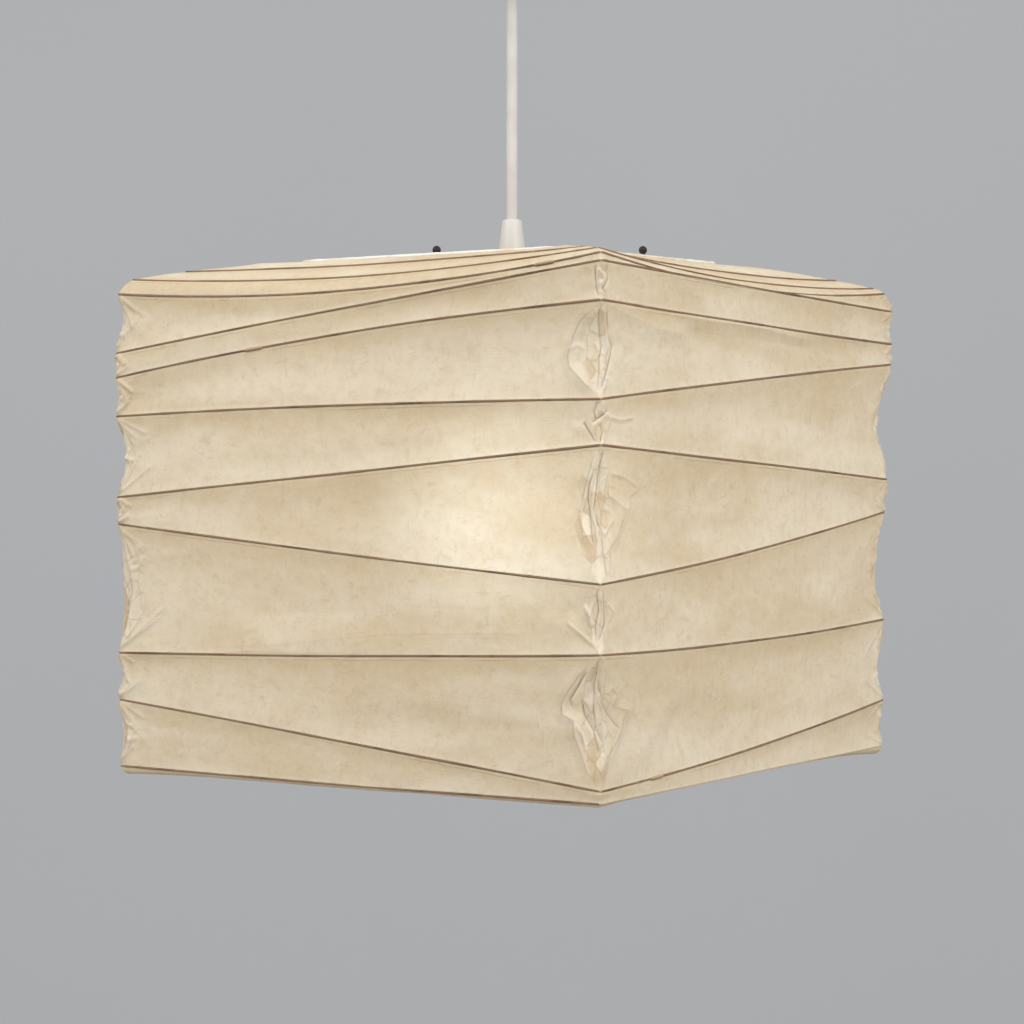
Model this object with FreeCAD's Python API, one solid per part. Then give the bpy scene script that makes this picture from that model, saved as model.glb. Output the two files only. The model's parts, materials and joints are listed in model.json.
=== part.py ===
"""Paper ceiling lamp: a square lantern of paper bands on slanting bamboo ribs, hung on a cord.

Millimetres, +Z up. The origin is on the ceiling plane, on the lamp's axis, and the lamp hangs below it.
The four upright edges of the shade are named left, near, right and far, at (-,-), (+,-), (+,+) and (-,+).
"""
import FreeCAD
import Part
import math
import os

Vector = FreeCAD.Vector
UP = Vector(0, 0, 1)

# Clearances
FIT_GAP = 0.15          # between pieces of one assembly that seat in each other
PASTE_GAP = 0.3         # between a paper edge and the rib that it is pasted to
MITRE_GAP = 0.1         # between two sheets of paper at an upright edge
WELD_GAP = 0.1          # between a carrier arm and its ring
BEND_GAP = 0.3          # either side of the flexing bit of cord

# Ceiling fitting
BAR_WIDTH = 18.0
BAR_THICK = 1.6
BAR_TAB_DROP = 14.0
BAR_END_GAP = 0.6
BAR_SCREW_SPACING = 50.0
BAR_SCREW_HOLE_R = 2.25
CANOPY_R = 43.0
CANOPY_WALL = 1.6
CANOPY_DEPTH = 44.0
CANOPY_EDGE_R = 9.0
CANOPY_LIP_GAP = 0.5
CANOPY_SCREW_R = 2.0
CANOPY_SCREW_LENGTH = 8.0
CANOPY_SCREW_HEAD_R = 3.4
CANOPY_SCREW_HEAD_THICK = 1.8
CANOPY_SCREW_SLOT = 1.0
BUSH_THREAD_R = 5.0
BUSH_THREAD_LENGTH = 9.0
BUSH_FLANGE_R = 9.0
BUSH_FLANGE_THICK = 2.5
BUSH_CONE_R = 8.0
BUSH_TIP_R = 6.0
BUSH_LENGTH = 12.0
NUT_FLATS = 14.0
NUT_THICK = 4.0
GRUB_R = 1.4
GRUB_LENGTH = 3.3
TERMINAL_LENGTH = 26.0
TERMINAL_WIDTH = 14.0
TERMINAL_HEIGHT = 12.0
TERMINAL_PITCH = 12.0
TERMINAL_SCREW_R = 2.2
TERMINAL_SCREW_PROUD = 1.2
LEAD_R = 1.1
LEAD_SPLAY = 1.5
LEAD_SEAT = 4.0
LEAD_FIRST_RUN = 0.25   # shares of the lead's height that run straight at its two ends
LEAD_LAST_RUN = 0.45

# Cord
CORD_R = 3.0
CORD_DROP = 123.4       # free cord, from the canopy bush to the top of the cord grip
CORD_TAIL = 26.0        # cord inside the canopy, above the flexing bit

# Cord grip and lampholder
GRIP_TOP_R = 4.8
GRIP_FOOT_R = 8.0
GRIP_TAPER = 26.8
GRIP_FOOT = 6.0
GRIP_STUB_R = 5.0
GRIP_STUB = 6.5
CAP_R = 20.0
CAP_WALL = 2.0
CAP_DOME = 20.0
CAP_SIDE = 14.0
CAP_NECK_R = 10.0
INSERT_THICK = 12.0
INSERT_DROP = 3.0       # from the foot of the cap to the foot of the insert
SKIRT_SHOULDER = 6.0
SKIRT_STEP = 1.4        # the thread stands this far inside the cap's wall
SKIRT_WALL = 1.6
SKIRT_LENGTH = 36.0
SLEEVE_WALL = 0.7
SLEEVE_LENGTH = 24.0
CONTACT_WIDTH = 5.0
CONTACT_THICK = 0.6
CONTACT_DROP = 4.5
CONTACT_INSET = 1.0     # from the sleeve's wall to the end of the tongue
CLAMP_RING_WIDTH = 6.4
CLAMP_RING_THICK = 9.0
CLAMP_RING_RIBS = 24
CLAMP_RING_RIB_R = 1.1

# Bulb with a standard screw cap
BULB_SHELL_R = 13.1
BULB_SHELL_LENGTH = 20.0
BULB_SHELL_WALL = 0.5
BULB_SHELL_SHOULDER = 2.0
BULB_INSULATOR = 4.0
BULB_FOOT_R = 4.0
BULB_FOOT = 1.6
BULB_GLOBE_R = 47.5
BULB_NECK_R = 16.0
BULB_NECK_DROP = 8.0
BULB_NECK_FOOT_R = 28.5 # where the neck's cone runs into the globe
BULB_NECK_FOOT_RISE = 38.0
BULB_GLOBE_DROP = 57.0  # from the foot of the screw shell to the middle of the globe
BULB_GLASS = 1.2

# Wire carrier
ARM_R = 1.25
ARM_RING_RUN = 9.0
ARM_RISE_INSET = 11.0   # how far inside the rim the slanting run ends
ARM_REACH = 3.2         # how far past the rim's line the hairpin goes
ARM_HAIRPIN = 4.2
ARM_TIP_INSET = 4.8     # the upright end stands this far inside the rim's line
# Each arm's turn about the axis in degrees, and how far its ball's middle is above the rim's line
ARMS = {"front": (-86.8, 2.9), "right": (8.5, 4.2), "back": (95.0, 4.0), "left": (185.0, 4.0)}
ARM_BEND = 7.0
ARM_HAIRPIN_BEND = 2.05
TIP_R = 2.2
RING_WIDTH = 6.4
RING_THICK = 2.0

# Shade: heights are above the base plane, at the left, near, right and far edges
RIM_HEIGHT = 271.1
RIM_DROP = 23.2         # the top rim's middle below the top of the cord grip
RIM_RISE = (-1.6, 4.6)  # how much higher the top rim hangs on its right than on its left, and behind
RIM_HALF = 81.0
RIM_WIRE_R = 0.9
RIM_CORNER_R = 6.0
BINDING_WALL = 0.4
BINDING_GAP = 0.1
FOOT_RIM_HALF = 81.0
FOOT_RIM_HEIGHT = -6.0
RIB_R = 0.7
RIB_CORNER_R = 2.4
PAPER = 0.35
SIDE_DRAW = 0.064       # how far the paper is drawn in between two ribs, per millimetre between them
FLAT_DRAW = 0.015       # the same on the top and the underside
RIBS = {
    "rib_top_inner": (127.0, (262.4, 261.5, 263.8, 263.0)),
    "rib_top_outer": (144.0, (258.2, 259.2, 260.2, 259.0)),
    "rib_1": (149.3, (251.0, 257.0, 258.0, 254.0)),
    "rib_2": (150.0, (221.0, 253.6, 248.0, 240.0)),
    "rib_3": (150.0, (207.0, 235.0, 230.0, 214.0)),
    "rib_4": (150.0, (187.0, 189.0, 219.0, 196.0)),
    "rib_5": (149.6, (145.0, 167.0, 155.0, 150.0)),
    "rib_6": (149.3, (131.0, 104.0, 138.0, 120.0)),
    "rib_7": (149.0, (64.0, 72.0, 78.0, 86.0)),
    "rib_8": (148.8, (39.0, 8.5, 34.0, 44.0)),
    "rib_9": (148.4, (4.3, 2.0, 7.6, 6.0)),
    "rib_base": (118.0, (-2.2, -2.6, -2.0, -2.4)),
}

# Levels worked out from the sizes above, from the ceiling down
CANOPY_FOOT = -CANOPY_DEPTH
BUSH_FOOT = CANOPY_FOOT - BUSH_LENGTH
SWAY_LEVEL = BUSH_FOOT
GRIP_TOP = BUSH_FOOT - CORD_R - BEND_GAP - CORD_DROP
GRIP_SEAT = GRIP_TOP - GRIP_TAPER - GRIP_FOOT
CAP_FOOT = GRIP_SEAT - CAP_DOME - CAP_SIDE
INSERT_FOOT = CAP_FOOT - INSERT_DROP
INSERT_TOP = INSERT_FOOT + INSERT_THICK
SHOULDER_FOOT = CAP_FOOT - FIT_GAP - SKIRT_SHOULDER
RIM_LEVEL = GRIP_TOP - RIM_DROP
BASE_LEVEL = RIM_LEVEL - RIM_HEIGHT
CORD_END = GRIP_SEAT - GRIP_STUB - CORD_R
BULB_TOP = INSERT_FOOT - CONTACT_DROP - CONTACT_THICK - FIT_GAP
SHELL_FOOT = BULB_TOP - BULB_FOOT - BULB_INSULATOR - BULB_SHELL_LENGTH
SLEEVE_R = BULB_SHELL_R + PASTE_GAP
SKIRT_THREAD_R = CAP_R - SKIRT_STEP
CLAMP_RING_R = SKIRT_THREAD_R + CLAMP_RING_WIDTH
RING_R = SKIRT_THREAD_R + RING_WIDTH
EDGES = ((-1, -1), (1, -1), (1, 1), (-1, 1))

parts = {}


def spun(profile):
    """A solid of revolution about the lamp's axis from (radius, height) corners."""
    corners = [Vector(radius, 0, height) for radius, height in profile]
    face = Part.Face(Part.makePolygon(corners + corners[:1]))
    return face.revolve(Vector(0, 0, 0), UP, 360)


def tube(inner, outer, foot, top):
    return spun([(inner, foot), (outer, foot), (outer, top), (inner, top)])


def rounded_drum(radius, foot, top, edge_r):
    """A drum with a round edge at its foot."""
    drum = tube(0, radius, foot, top)
    foot_edges = [e for e in drum.Edges if e.BoundBox.ZMax < foot + edge_r and e.Length > radius * math.pi]
    return drum.makeFillet(edge_r, foot_edges)


def rod(radius, start, end):
    run = end - start
    return Part.makeCylinder(radius, run.Length, start, run)


def block(size_x, size_y, foot, top, middle_x=0.0, middle_y=0.0):
    corner = Vector(middle_x - size_x / 2, middle_y - size_y / 2, foot)
    return Part.makeBox(size_x, size_y, top - foot, corner)


def bar_of(points, bends, radius, closed=False):
    """A round bar along straight runs, with a round bend of the given radius at each corner."""
    count = len(points)
    corners = range(count) if closed else range(1, count - 1)
    solids = []
    cut = {}
    for at in corners:
        before = (points[at - 1] - points[at]).normalize()
        after = (points[(at + 1) % count] - points[at]).normalize()
        half = before.getAngle(after) / 2
        reach = bends[at] / math.tan(half)
        middle = points[at] + (before + after).normalize() * (bends[at] / math.sin(half))
        start = points[at] + before * reach
        cut[at] = (start, points[at] + after * reach)
        axis = before.cross(after) * -1
        ring = Part.Wire(Part.makeCircle(radius, start, before))
        turn = 180 - math.degrees(2 * half)
        solids.append(Part.Face(ring).revolve(middle, axis, turn))
    for at in range(count if closed else count - 1):
        start = cut[at][1] if at in cut else points[at]
        after = (at + 1) % count
        end = cut[after][0] if after in cut else points[after]
        solids.append(rod(radius, start, end))
    return solids[0].multiFuse(solids[1:]).removeSplitter()


def hoop_points(half, heights):
    return [Vector(x * half, y * half, BASE_LEVEL + h) for (x, y), h in zip(EDGES, heights)]


def hoop(half, heights, radius, corner):
    return bar_of(hoop_points(half, heights), [corner] * 4, radius, closed=True)


def rim_rise(x, y):
    """How far the tilted top rim is above its middle, at a place given in half sides."""
    return (RIM_RISE[0] * x + RIM_RISE[1] * y) / 2


def ruled_solid(start, end):
    """A solid with straight rulings from each corner of one flat outline to the same corner of another."""
    faces = [Part.Face(Part.makePolygon(outline + outline[:1])) for outline in (start, end)]
    for at in range(len(start)):
        rails = [Part.makeLine(outline[at - 1], outline[at]) for outline in (start, end)]
        faces.append(Part.makeRuledSurface(*rails))
    shell = Part.makeShell(faces)
    shell.sewShape()
    solid = Part.makeSolid(shell)
    if solid.Volume < 0:
        solid.reverse()
    return solid


def paper_band(above, below, clear_above, clear_below, draw):
    """Four sheets of paper between two hoops, mitred at the upright edges and drawn in half-way down."""
    rails = []
    for upper, lower in zip(hoop_points(*above), hoop_points(*below)):
        radius_from, radius_to = abs(upper.x), abs(lower.x)
        run = math.hypot(radius_to - radius_from, lower.z - upper.z)
        along = ((radius_to - radius_from) / run, (lower.z - upper.z) / run)
        out = (-along[1], along[0])
        start = (radius_from + along[0] * clear_above, upper.z + along[1] * clear_above)
        end = (radius_to - along[0] * clear_below, lower.z - along[1] * clear_below)
        valley = tuple((a + b) / 2 - draw * run * o for a, b, o in zip(start, end, out))
        line = [start, valley, end]
        outer = [(r + out[0] * PAPER / 2, z + out[1] * PAPER / 2) for r, z in line]
        inner = [(r - out[0] * PAPER / 2, z - out[1] * PAPER / 2) for r, z in line]
        rails.append(outer + inner[::-1])
    sheets = []
    for side in range(4):
        ends = []
        first, second = side, (side + 1) % 4
        step = [b - a for a, b in zip(EDGES[first], EDGES[second])]
        along = Vector(*step, 0).normalize()
        for edge, pull in ((first, MITRE_GAP / 2), (second, -MITRE_GAP / 2)):
            x, y = EDGES[edge]
            ends.append([Vector(x * r, y * r, z) + along * pull for r, z in rails[edge]])
        sheets.append(ruled_solid(*ends))
    return Part.makeCompound(sheets)


def make_ceiling_fitting():
    inside = CANOPY_R - CANOPY_WALL
    bar_half = math.sqrt((inside - BAR_END_GAP) ** 2 - (BAR_WIDTH / 2) ** 2)
    screw_level = -(BAR_THICK + BAR_TAB_DROP) / 2
    bar = block(2 * bar_half, BAR_WIDTH, -BAR_THICK, 0)
    for side in (-1, 1):
        tab_middle = side * (bar_half - BAR_THICK / 2)
        bar = bar.fuse(block(BAR_THICK, BAR_WIDTH, -BAR_TAB_DROP, -BAR_THICK, tab_middle))
    bar = bar.removeSplitter()
    screw_run = [Vector(side * CANOPY_R, 0, screw_level) for side in (-1, 1)]
    across = rod(CANOPY_SCREW_R + FIT_GAP, *screw_run)
    bar = bar.cut(across)
    for side in (-1, 1):
        middle = Vector(side * BAR_SCREW_SPACING / 2, 0, 0)
        bar = bar.cut(rod(BAR_SCREW_HOLE_R, middle - UP * BAR_THICK, middle))
    parts["ceiling_bar"] = bar

    cup_floor = CANOPY_FOOT + CANOPY_WALL
    cup = rounded_drum(CANOPY_R, CANOPY_FOOT, -CANOPY_LIP_GAP, CANOPY_EDGE_R)
    cup = cup.cut(rounded_drum(inside, cup_floor, 0, CANOPY_EDGE_R - CANOPY_WALL))
    cup = cup.cut(tube(0, BUSH_THREAD_R + FIT_GAP, CANOPY_FOOT, cup_floor))
    parts["canopy_cup"] = cup.cut(across)

    screws = []
    for side in (-1, 1):
        seat = Vector(side * CANOPY_R, 0, screw_level)
        out = Vector(side, 0, 0)
        shank = rod(CANOPY_SCREW_R, seat - out * CANOPY_SCREW_LENGTH, seat)
        head = rod(CANOPY_SCREW_HEAD_R, seat, seat + out * CANOPY_SCREW_HEAD_THICK)
        slot_foot = screw_level - CANOPY_SCREW_SLOT / 2
        slot_middle = side * (CANOPY_R + CANOPY_SCREW_HEAD_THICK)
        slot = block(CANOPY_SCREW_HEAD_THICK, 2 * CANOPY_SCREW_HEAD_R,
                     slot_foot, slot_foot + CANOPY_SCREW_SLOT, slot_middle)
        screws.append(shank.fuse(head).cut(slot).removeSplitter())
    parts["canopy_screws"] = Part.makeCompound(screws)

    bore = CORD_R + FIT_GAP
    bush = spun([
        (bore, BUSH_FOOT),
        (BUSH_TIP_R, BUSH_FOOT),
        (BUSH_CONE_R, CANOPY_FOOT - BUSH_FLANGE_THICK),
        (BUSH_FLANGE_R, CANOPY_FOOT - BUSH_FLANGE_THICK),
        (BUSH_FLANGE_R, CANOPY_FOOT),
        (BUSH_THREAD_R, CANOPY_FOOT),
        (BUSH_THREAD_R, CANOPY_FOOT + BUSH_THREAD_LENGTH),
        (bore, CANOPY_FOOT + BUSH_THREAD_LENGTH),
    ])
    grub_level = (CANOPY_FOOT - BUSH_FLANGE_THICK + BUSH_FOOT) / 2
    back = Vector(0, 1, 0)
    grub_axis = UP * grub_level
    grub_seat = grub_axis + back * bore
    parts["canopy_bush"] = bush.cut(rod(GRUB_R + FIT_GAP, grub_axis, grub_axis + back * BUSH_FLANGE_R))
    parts["bush_grub_screw"] = rod(GRUB_R, grub_seat, grub_seat + back * GRUB_LENGTH)
    nut_corner = NUT_FLATS / math.sqrt(3)
    turns = [k * math.pi / 3 for k in range(7)]
    hexagon = [Vector(nut_corner * math.cos(t), nut_corner * math.sin(t), cup_floor) for t in turns]
    nut = Part.Face(Part.makePolygon(hexagon)).extrude(UP * NUT_THICK)
    parts["bush_nut"] = nut.cut(tube(0, BUSH_THREAD_R + FIT_GAP, cup_floor, cup_floor + NUT_THICK))

    terminal_foot = -BAR_THICK - TERMINAL_HEIGHT
    terminal = block(TERMINAL_LENGTH, TERMINAL_WIDTH, terminal_foot, -BAR_THICK)
    screw_level = -BAR_THICK - TERMINAL_HEIGHT / 2
    screws = []
    for side in (-1, 1):
        x = side * TERMINAL_PITCH / 2
        front = Vector(x, -TERMINAL_WIDTH / 2, screw_level)
        head = front + Vector(0, -TERMINAL_SCREW_PROUD, 0)
        seat = Vector(x, -LEAD_R - FIT_GAP, screw_level)
        terminal = terminal.cut(rod(TERMINAL_SCREW_R + FIT_GAP, seat, front))
        lead_seat = Vector(x, 0, terminal_foot)
        lead_stop = lead_seat + UP * (TERMINAL_HEIGHT - LEAD_SEAT)
        terminal = terminal.cut(rod(LEAD_R + FIT_GAP, lead_seat, lead_stop))
        screws.append(rod(TERMINAL_SCREW_R, head, seat))
    parts["terminal_block"] = terminal
    parts["terminal_screws"] = Part.makeCompound(screws)
    return terminal_foot


def lead_pair(cord_face, seat, spread):
    """Two insulated cores from the cord's end to their terminals."""
    leads = []
    for side in (-1, 1):
        start = Vector(side * LEAD_SPLAY, 0, cord_face)
        end = Vector(side * spread, 0, seat)
        span = UP * (seat - cord_face)
        points = [start, start + span * LEAD_FIRST_RUN, end - span * LEAD_LAST_RUN, end]
        leads.append(bar_of(points, [0, 2 * LEAD_R, 2 * LEAD_R, 0], LEAD_R))
    return Part.makeCompound(leads)


def make_cord(terminal_foot):
    tail_foot = SWAY_LEVEL + CORD_R + BEND_GAP
    tail_top = SWAY_LEVEL + CORD_TAIL
    parts["cord_tail"] = tube(0, CORD_R, tail_foot, tail_top)
    parts["canopy_leads"] = lead_pair(tail_top, terminal_foot + LEAD_SEAT, TERMINAL_PITCH / 2)
    parts["cord_bend"] = Part.makeSphere(CORD_R, Vector(0, 0, SWAY_LEVEL))
    parts["pendant_cord"] = tube(0, CORD_R, CORD_END, SWAY_LEVEL - CORD_R - BEND_GAP)


def make_lampholder():
    bore = CORD_R + FIT_GAP
    parts["cord_grip"] = spun([
        (bore, GRIP_SEAT - GRIP_STUB),
        (GRIP_STUB_R, GRIP_SEAT - GRIP_STUB),
        (GRIP_STUB_R, GRIP_SEAT),
        (GRIP_FOOT_R, GRIP_SEAT),
        (GRIP_FOOT_R, GRIP_SEAT + GRIP_FOOT),
        (GRIP_TOP_R, GRIP_TOP),
        (bore, GRIP_TOP),
    ])
    neck = GRIP_STUB_R + FIT_GAP
    dome_foot = GRIP_SEAT - CAP_DOME
    parts["holder_cap"] = spun([
        (neck, GRIP_SEAT),
        (CAP_NECK_R, GRIP_SEAT),
        ((CAP_NECK_R + CAP_R) / 2 + CAP_WALL, (GRIP_SEAT + dome_foot) / 2),
        (CAP_R, dome_foot),
        (CAP_R, CAP_FOOT),
        (CAP_R - CAP_WALL, CAP_FOOT),
        (CAP_R - CAP_WALL, dome_foot),
        ((CAP_NECK_R + CAP_R) / 2, (GRIP_SEAT + dome_foot) / 2 - CAP_WALL),
        (CAP_NECK_R - CAP_WALL, GRIP_SEAT - 2 * CAP_WALL),
        (neck, GRIP_SEAT - 2 * CAP_WALL),
    ])
    insert_r = SKIRT_THREAD_R - SKIRT_WALL - FIT_GAP
    insert = tube(0, insert_r, INSERT_FOOT, INSERT_TOP)
    lead_spread = insert_r / 2
    for side in (-1, 1):
        hole = Vector(side * lead_spread, 0, INSERT_TOP)
        insert = insert.cut(rod(LEAD_R + FIT_GAP, hole - UP * LEAD_SEAT, hole))
    parts["holder_insert"] = insert
    parts["holder_leads"] = lead_pair(CORD_END, INSERT_TOP - LEAD_SEAT, lead_spread)

    tongue = [
        Vector(CONTACT_INSET - SLEEVE_R, -CONTACT_WIDTH / 2, INSERT_FOOT),
        Vector(-SLEEVE_R / 2, -CONTACT_WIDTH / 2, INSERT_FOOT),
        Vector(-BULB_FOOT_R / 2, -CONTACT_WIDTH / 2, INSERT_FOOT - CONTACT_DROP),
        Vector(BULB_FOOT_R, -CONTACT_WIDTH / 2, INSERT_FOOT - CONTACT_DROP),
    ]
    under = [p - UP * CONTACT_THICK for p in reversed(tongue)]
    tongue_face = Part.Face(Part.makePolygon(tongue + under + tongue[:1]))
    parts["centre_contact"] = tongue_face.extrude(Vector(0, CONTACT_WIDTH, 0))
    parts["screw_sleeve"] = tube(SLEEVE_R, SLEEVE_R + SLEEVE_WALL, INSERT_FOOT - SLEEVE_LENGTH, INSERT_FOOT)
    skirt_top = CAP_FOOT - FIT_GAP
    skirt_foot = skirt_top - SKIRT_LENGTH
    skirt_inner = SKIRT_THREAD_R - SKIRT_WALL
    parts["holder_skirt"] = spun([
        (skirt_inner, skirt_top),
        (CAP_R, skirt_top),
        (CAP_R, SHOULDER_FOOT),
        (SKIRT_THREAD_R, SHOULDER_FOOT),
        (SKIRT_THREAD_R, skirt_foot),
        (SLEEVE_R + SLEEVE_WALL + FIT_GAP, skirt_foot),
        (SLEEVE_R + SLEEVE_WALL + FIT_GAP, skirt_foot + SKIRT_WALL),
        (skirt_inner, skirt_foot + SKIRT_WALL),
    ])
    ring_top = SHOULDER_FOOT - 2 * FIT_GAP - RING_THICK
    ring_foot = ring_top - CLAMP_RING_THICK
    ring = tube(SKIRT_THREAD_R + FIT_GAP, CLAMP_RING_R, ring_foot, ring_top)
    for k in range(CLAMP_RING_RIBS):
        turn = 2 * math.pi * k / CLAMP_RING_RIBS
        foot = Vector(CLAMP_RING_R * math.cos(turn), CLAMP_RING_R * math.sin(turn), ring_foot)
        ring = ring.cut(rod(CLAMP_RING_RIB_R, foot, foot + UP * CLAMP_RING_THICK))
    parts["clamp_ring"] = ring


def bulb_form(inset):
    """The bulb's globe and neck, drawn in by the given wall."""
    middle = SHELL_FOOT - BULB_GLOBE_DROP
    neck_foot = middle + BULB_NECK_FOOT_RISE
    globe = Part.makeSphere(BULB_GLOBE_R - inset, UP * middle)
    return globe.fuse(spun([
        (0, SHELL_FOOT),
        (BULB_SHELL_R - inset, SHELL_FOOT),
        (BULB_NECK_R - inset, SHELL_FOOT - BULB_NECK_DROP),
        (BULB_NECK_FOOT_R - inset, neck_foot),
        (0, neck_foot),
    ]))


def make_bulb():
    foot_level = BULB_TOP - BULB_FOOT
    shell_top = foot_level - BULB_INSULATOR
    parts["bulb_contact"] = tube(0, BULB_FOOT_R, foot_level, BULB_TOP)
    parts["bulb_insulator"] = spun([
        (0, shell_top),
        (BULB_SHELL_R - 2 * BULB_SHELL_WALL, shell_top),
        (BULB_FOOT_R, foot_level),
        (0, foot_level),
    ])
    shoulder = shell_top - BULB_SHELL_SHOULDER
    parts["bulb_shell"] = spun([
        (0, shell_top),
        (0, shell_top - BULB_SHELL_WALL),
        (BULB_SHELL_R - 3 * BULB_SHELL_WALL, shell_top - BULB_SHELL_WALL),
        (BULB_SHELL_R - BULB_SHELL_WALL, shoulder),
        (BULB_SHELL_R - BULB_SHELL_WALL, SHELL_FOOT),
        (BULB_SHELL_R, SHELL_FOOT),
        (BULB_SHELL_R, shoulder),
        (BULB_SHELL_R - 2 * BULB_SHELL_WALL, shell_top),
    ])
    parts["bulb_glass"] = bulb_form(0).cut(bulb_form(BULB_GLASS))


def make_carrier():
    ring_foot = SHOULDER_FOOT - FIT_GAP - RING_THICK
    parts["carrier_ring"] = tube(SKIRT_THREAD_R + FIT_GAP, RING_R, ring_foot, ring_foot + RING_THICK)
    ring_line = ring_foot + RING_THICK / 2
    tips = []
    for name, (turn, tip_rise) in ARMS.items():
        x, y = math.cos(math.radians(turn)), math.sin(math.radians(turn))
        rim_line = RIM_LEVEL + rim_rise(x, y)
        seat = rim_line - RIM_WIRE_R - BINDING_GAP - BINDING_WALL - FIT_GAP - ARM_R
        tip_stop = rim_line + tip_rise

        def at(radius, level):
            return Vector(x * radius, y * radius, level)

        points = [
            at(RING_R + WELD_GAP, ring_line),
            at(RING_R + ARM_RING_RUN, ring_line),
            at(RIM_HALF - ARM_RISE_INSET, seat - ARM_HAIRPIN),
            at(RIM_HALF + ARM_REACH, seat - ARM_HAIRPIN),
            at(RIM_HALF + ARM_REACH, seat),
            at(RIM_HALF - ARM_TIP_INSET, seat),
            at(RIM_HALF - ARM_TIP_INSET, tip_stop),
        ]
        bends = [0] + [ARM_BEND] * 2 + [ARM_HAIRPIN_BEND] * 3 + [0]
        parts["carrier_arm_" + name] = bar_of(points, bends, ARM_R)
        ball = Part.makeSphere(TIP_R, at(RIM_HALF - ARM_TIP_INSET, tip_stop))
        socket = rod(ARM_R + FIT_GAP, at(RIM_HALF - ARM_TIP_INSET, tip_stop - TIP_R),
                     at(RIM_HALF - ARM_TIP_INSET, tip_stop + FIT_GAP))
        tips.append(ball.cut(socket))
    parts["carrier_tips"] = Part.makeCompound(tips)


def make_shade():
    binding_inner = RIM_WIRE_R + BINDING_GAP
    binding_outer = binding_inner + BINDING_WALL
    top_rim = (RIM_HALF, [RIM_HEIGHT + rim_rise(x, y) for x, y in EDGES])
    foot_rim = (FOOT_RIM_HALF, (FOOT_RIM_HEIGHT,) * 4)
    rims = {"top_rim": (RIM_HALF, RIM_HEIGHT), "bottom_rim": (FOOT_RIM_HALF, FOOT_RIM_HEIGHT)}
    for name, (half, height) in rims.items():
        rim = (half, (height,) * 4)
        parts[name + "_wire"] = hoop(*rim, RIM_WIRE_R, RIM_CORNER_R)
        sleeve = hoop(*rim, binding_outer, RIM_CORNER_R)
        parts[name + "_binding"] = sleeve.cut(hoop(*rim, binding_inner, RIM_CORNER_R))
    for name in ("top_rim_wire", "top_rim_binding"):
        lean_x, lean_y = (math.degrees(math.atan2(rise / 2, RIM_HALF)) for rise in RIM_RISE)
        parts[name].rotate(Vector(0, 0, RIM_LEVEL), Vector(1, 0, 0), lean_y)
        parts[name].rotate(Vector(0, 0, RIM_LEVEL), Vector(0, 1, 0), -lean_x)
    for name, rib in RIBS.items():
        parts[name] = hoop(*rib, RIB_R, RIB_CORNER_R)
    rib_clear = RIB_R + PASTE_GAP
    rim_clear = binding_outer + PASTE_GAP
    # A flat sheet lies inside the larger hoop, whose round corner comes closer to it than its sides
    corner_clear = (RIB_CORNER_R * (math.sqrt(2) - 1) + rib_clear) / math.sqrt(2)
    lines = [top_rim, *RIBS.values(), foot_rim]
    top_names = ["paper_top_inner", "paper_top_middle", "paper_top_edge"]
    side_names = ["paper_side_%d" % k for k in range(1, len(RIBS) - 3)]
    base_names = ["paper_base_outer", "paper_base_inner"]
    for k, name in enumerate(top_names + side_names + base_names):
        clear_above = rim_clear if name == top_names[0] else rib_clear
        clear_below = rim_clear if name == base_names[-1] else rib_clear
        draw = SIDE_DRAW if name in side_names else FLAT_DRAW
        if name in top_names:
            clear_below = corner_clear
        if name in base_names:
            clear_above = corner_clear
        parts[name] = paper_band(lines[k], lines[k + 1], clear_above, clear_below, draw)


make_cord(make_ceiling_fitting())
make_lampholder()
make_bulb()
make_carrier()
make_shade()

os.makedirs("parts", exist_ok=True)
for name, shape in parts.items():
    shape.exportStep("parts/%s.step" % name)
    state = "valid" if shape.isValid() else "INVALID"
    print(name, len(shape.Solids), "solids", round(shape.Volume, 1), "mm3", state)
print(len(parts), "nodes, rim level", RIM_LEVEL, "base level", BASE_LEVEL)
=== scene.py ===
# %% [markdown]
# # A square paper ceiling lamp
# The lamp is a box of thin hand-made paper on slanting bamboo hoops. A wire carrier spreads the box's
# upper rim, a lampholder clamps the carrier, and a white cord hangs it all from a cup at the ceiling.
# The solids were made first and are loaded here as a fixed frame. Blender adds what the solids can't
# show: creased paper, uneven bamboo, turned plastic, and the finishes. Everything is in metres.

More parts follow.
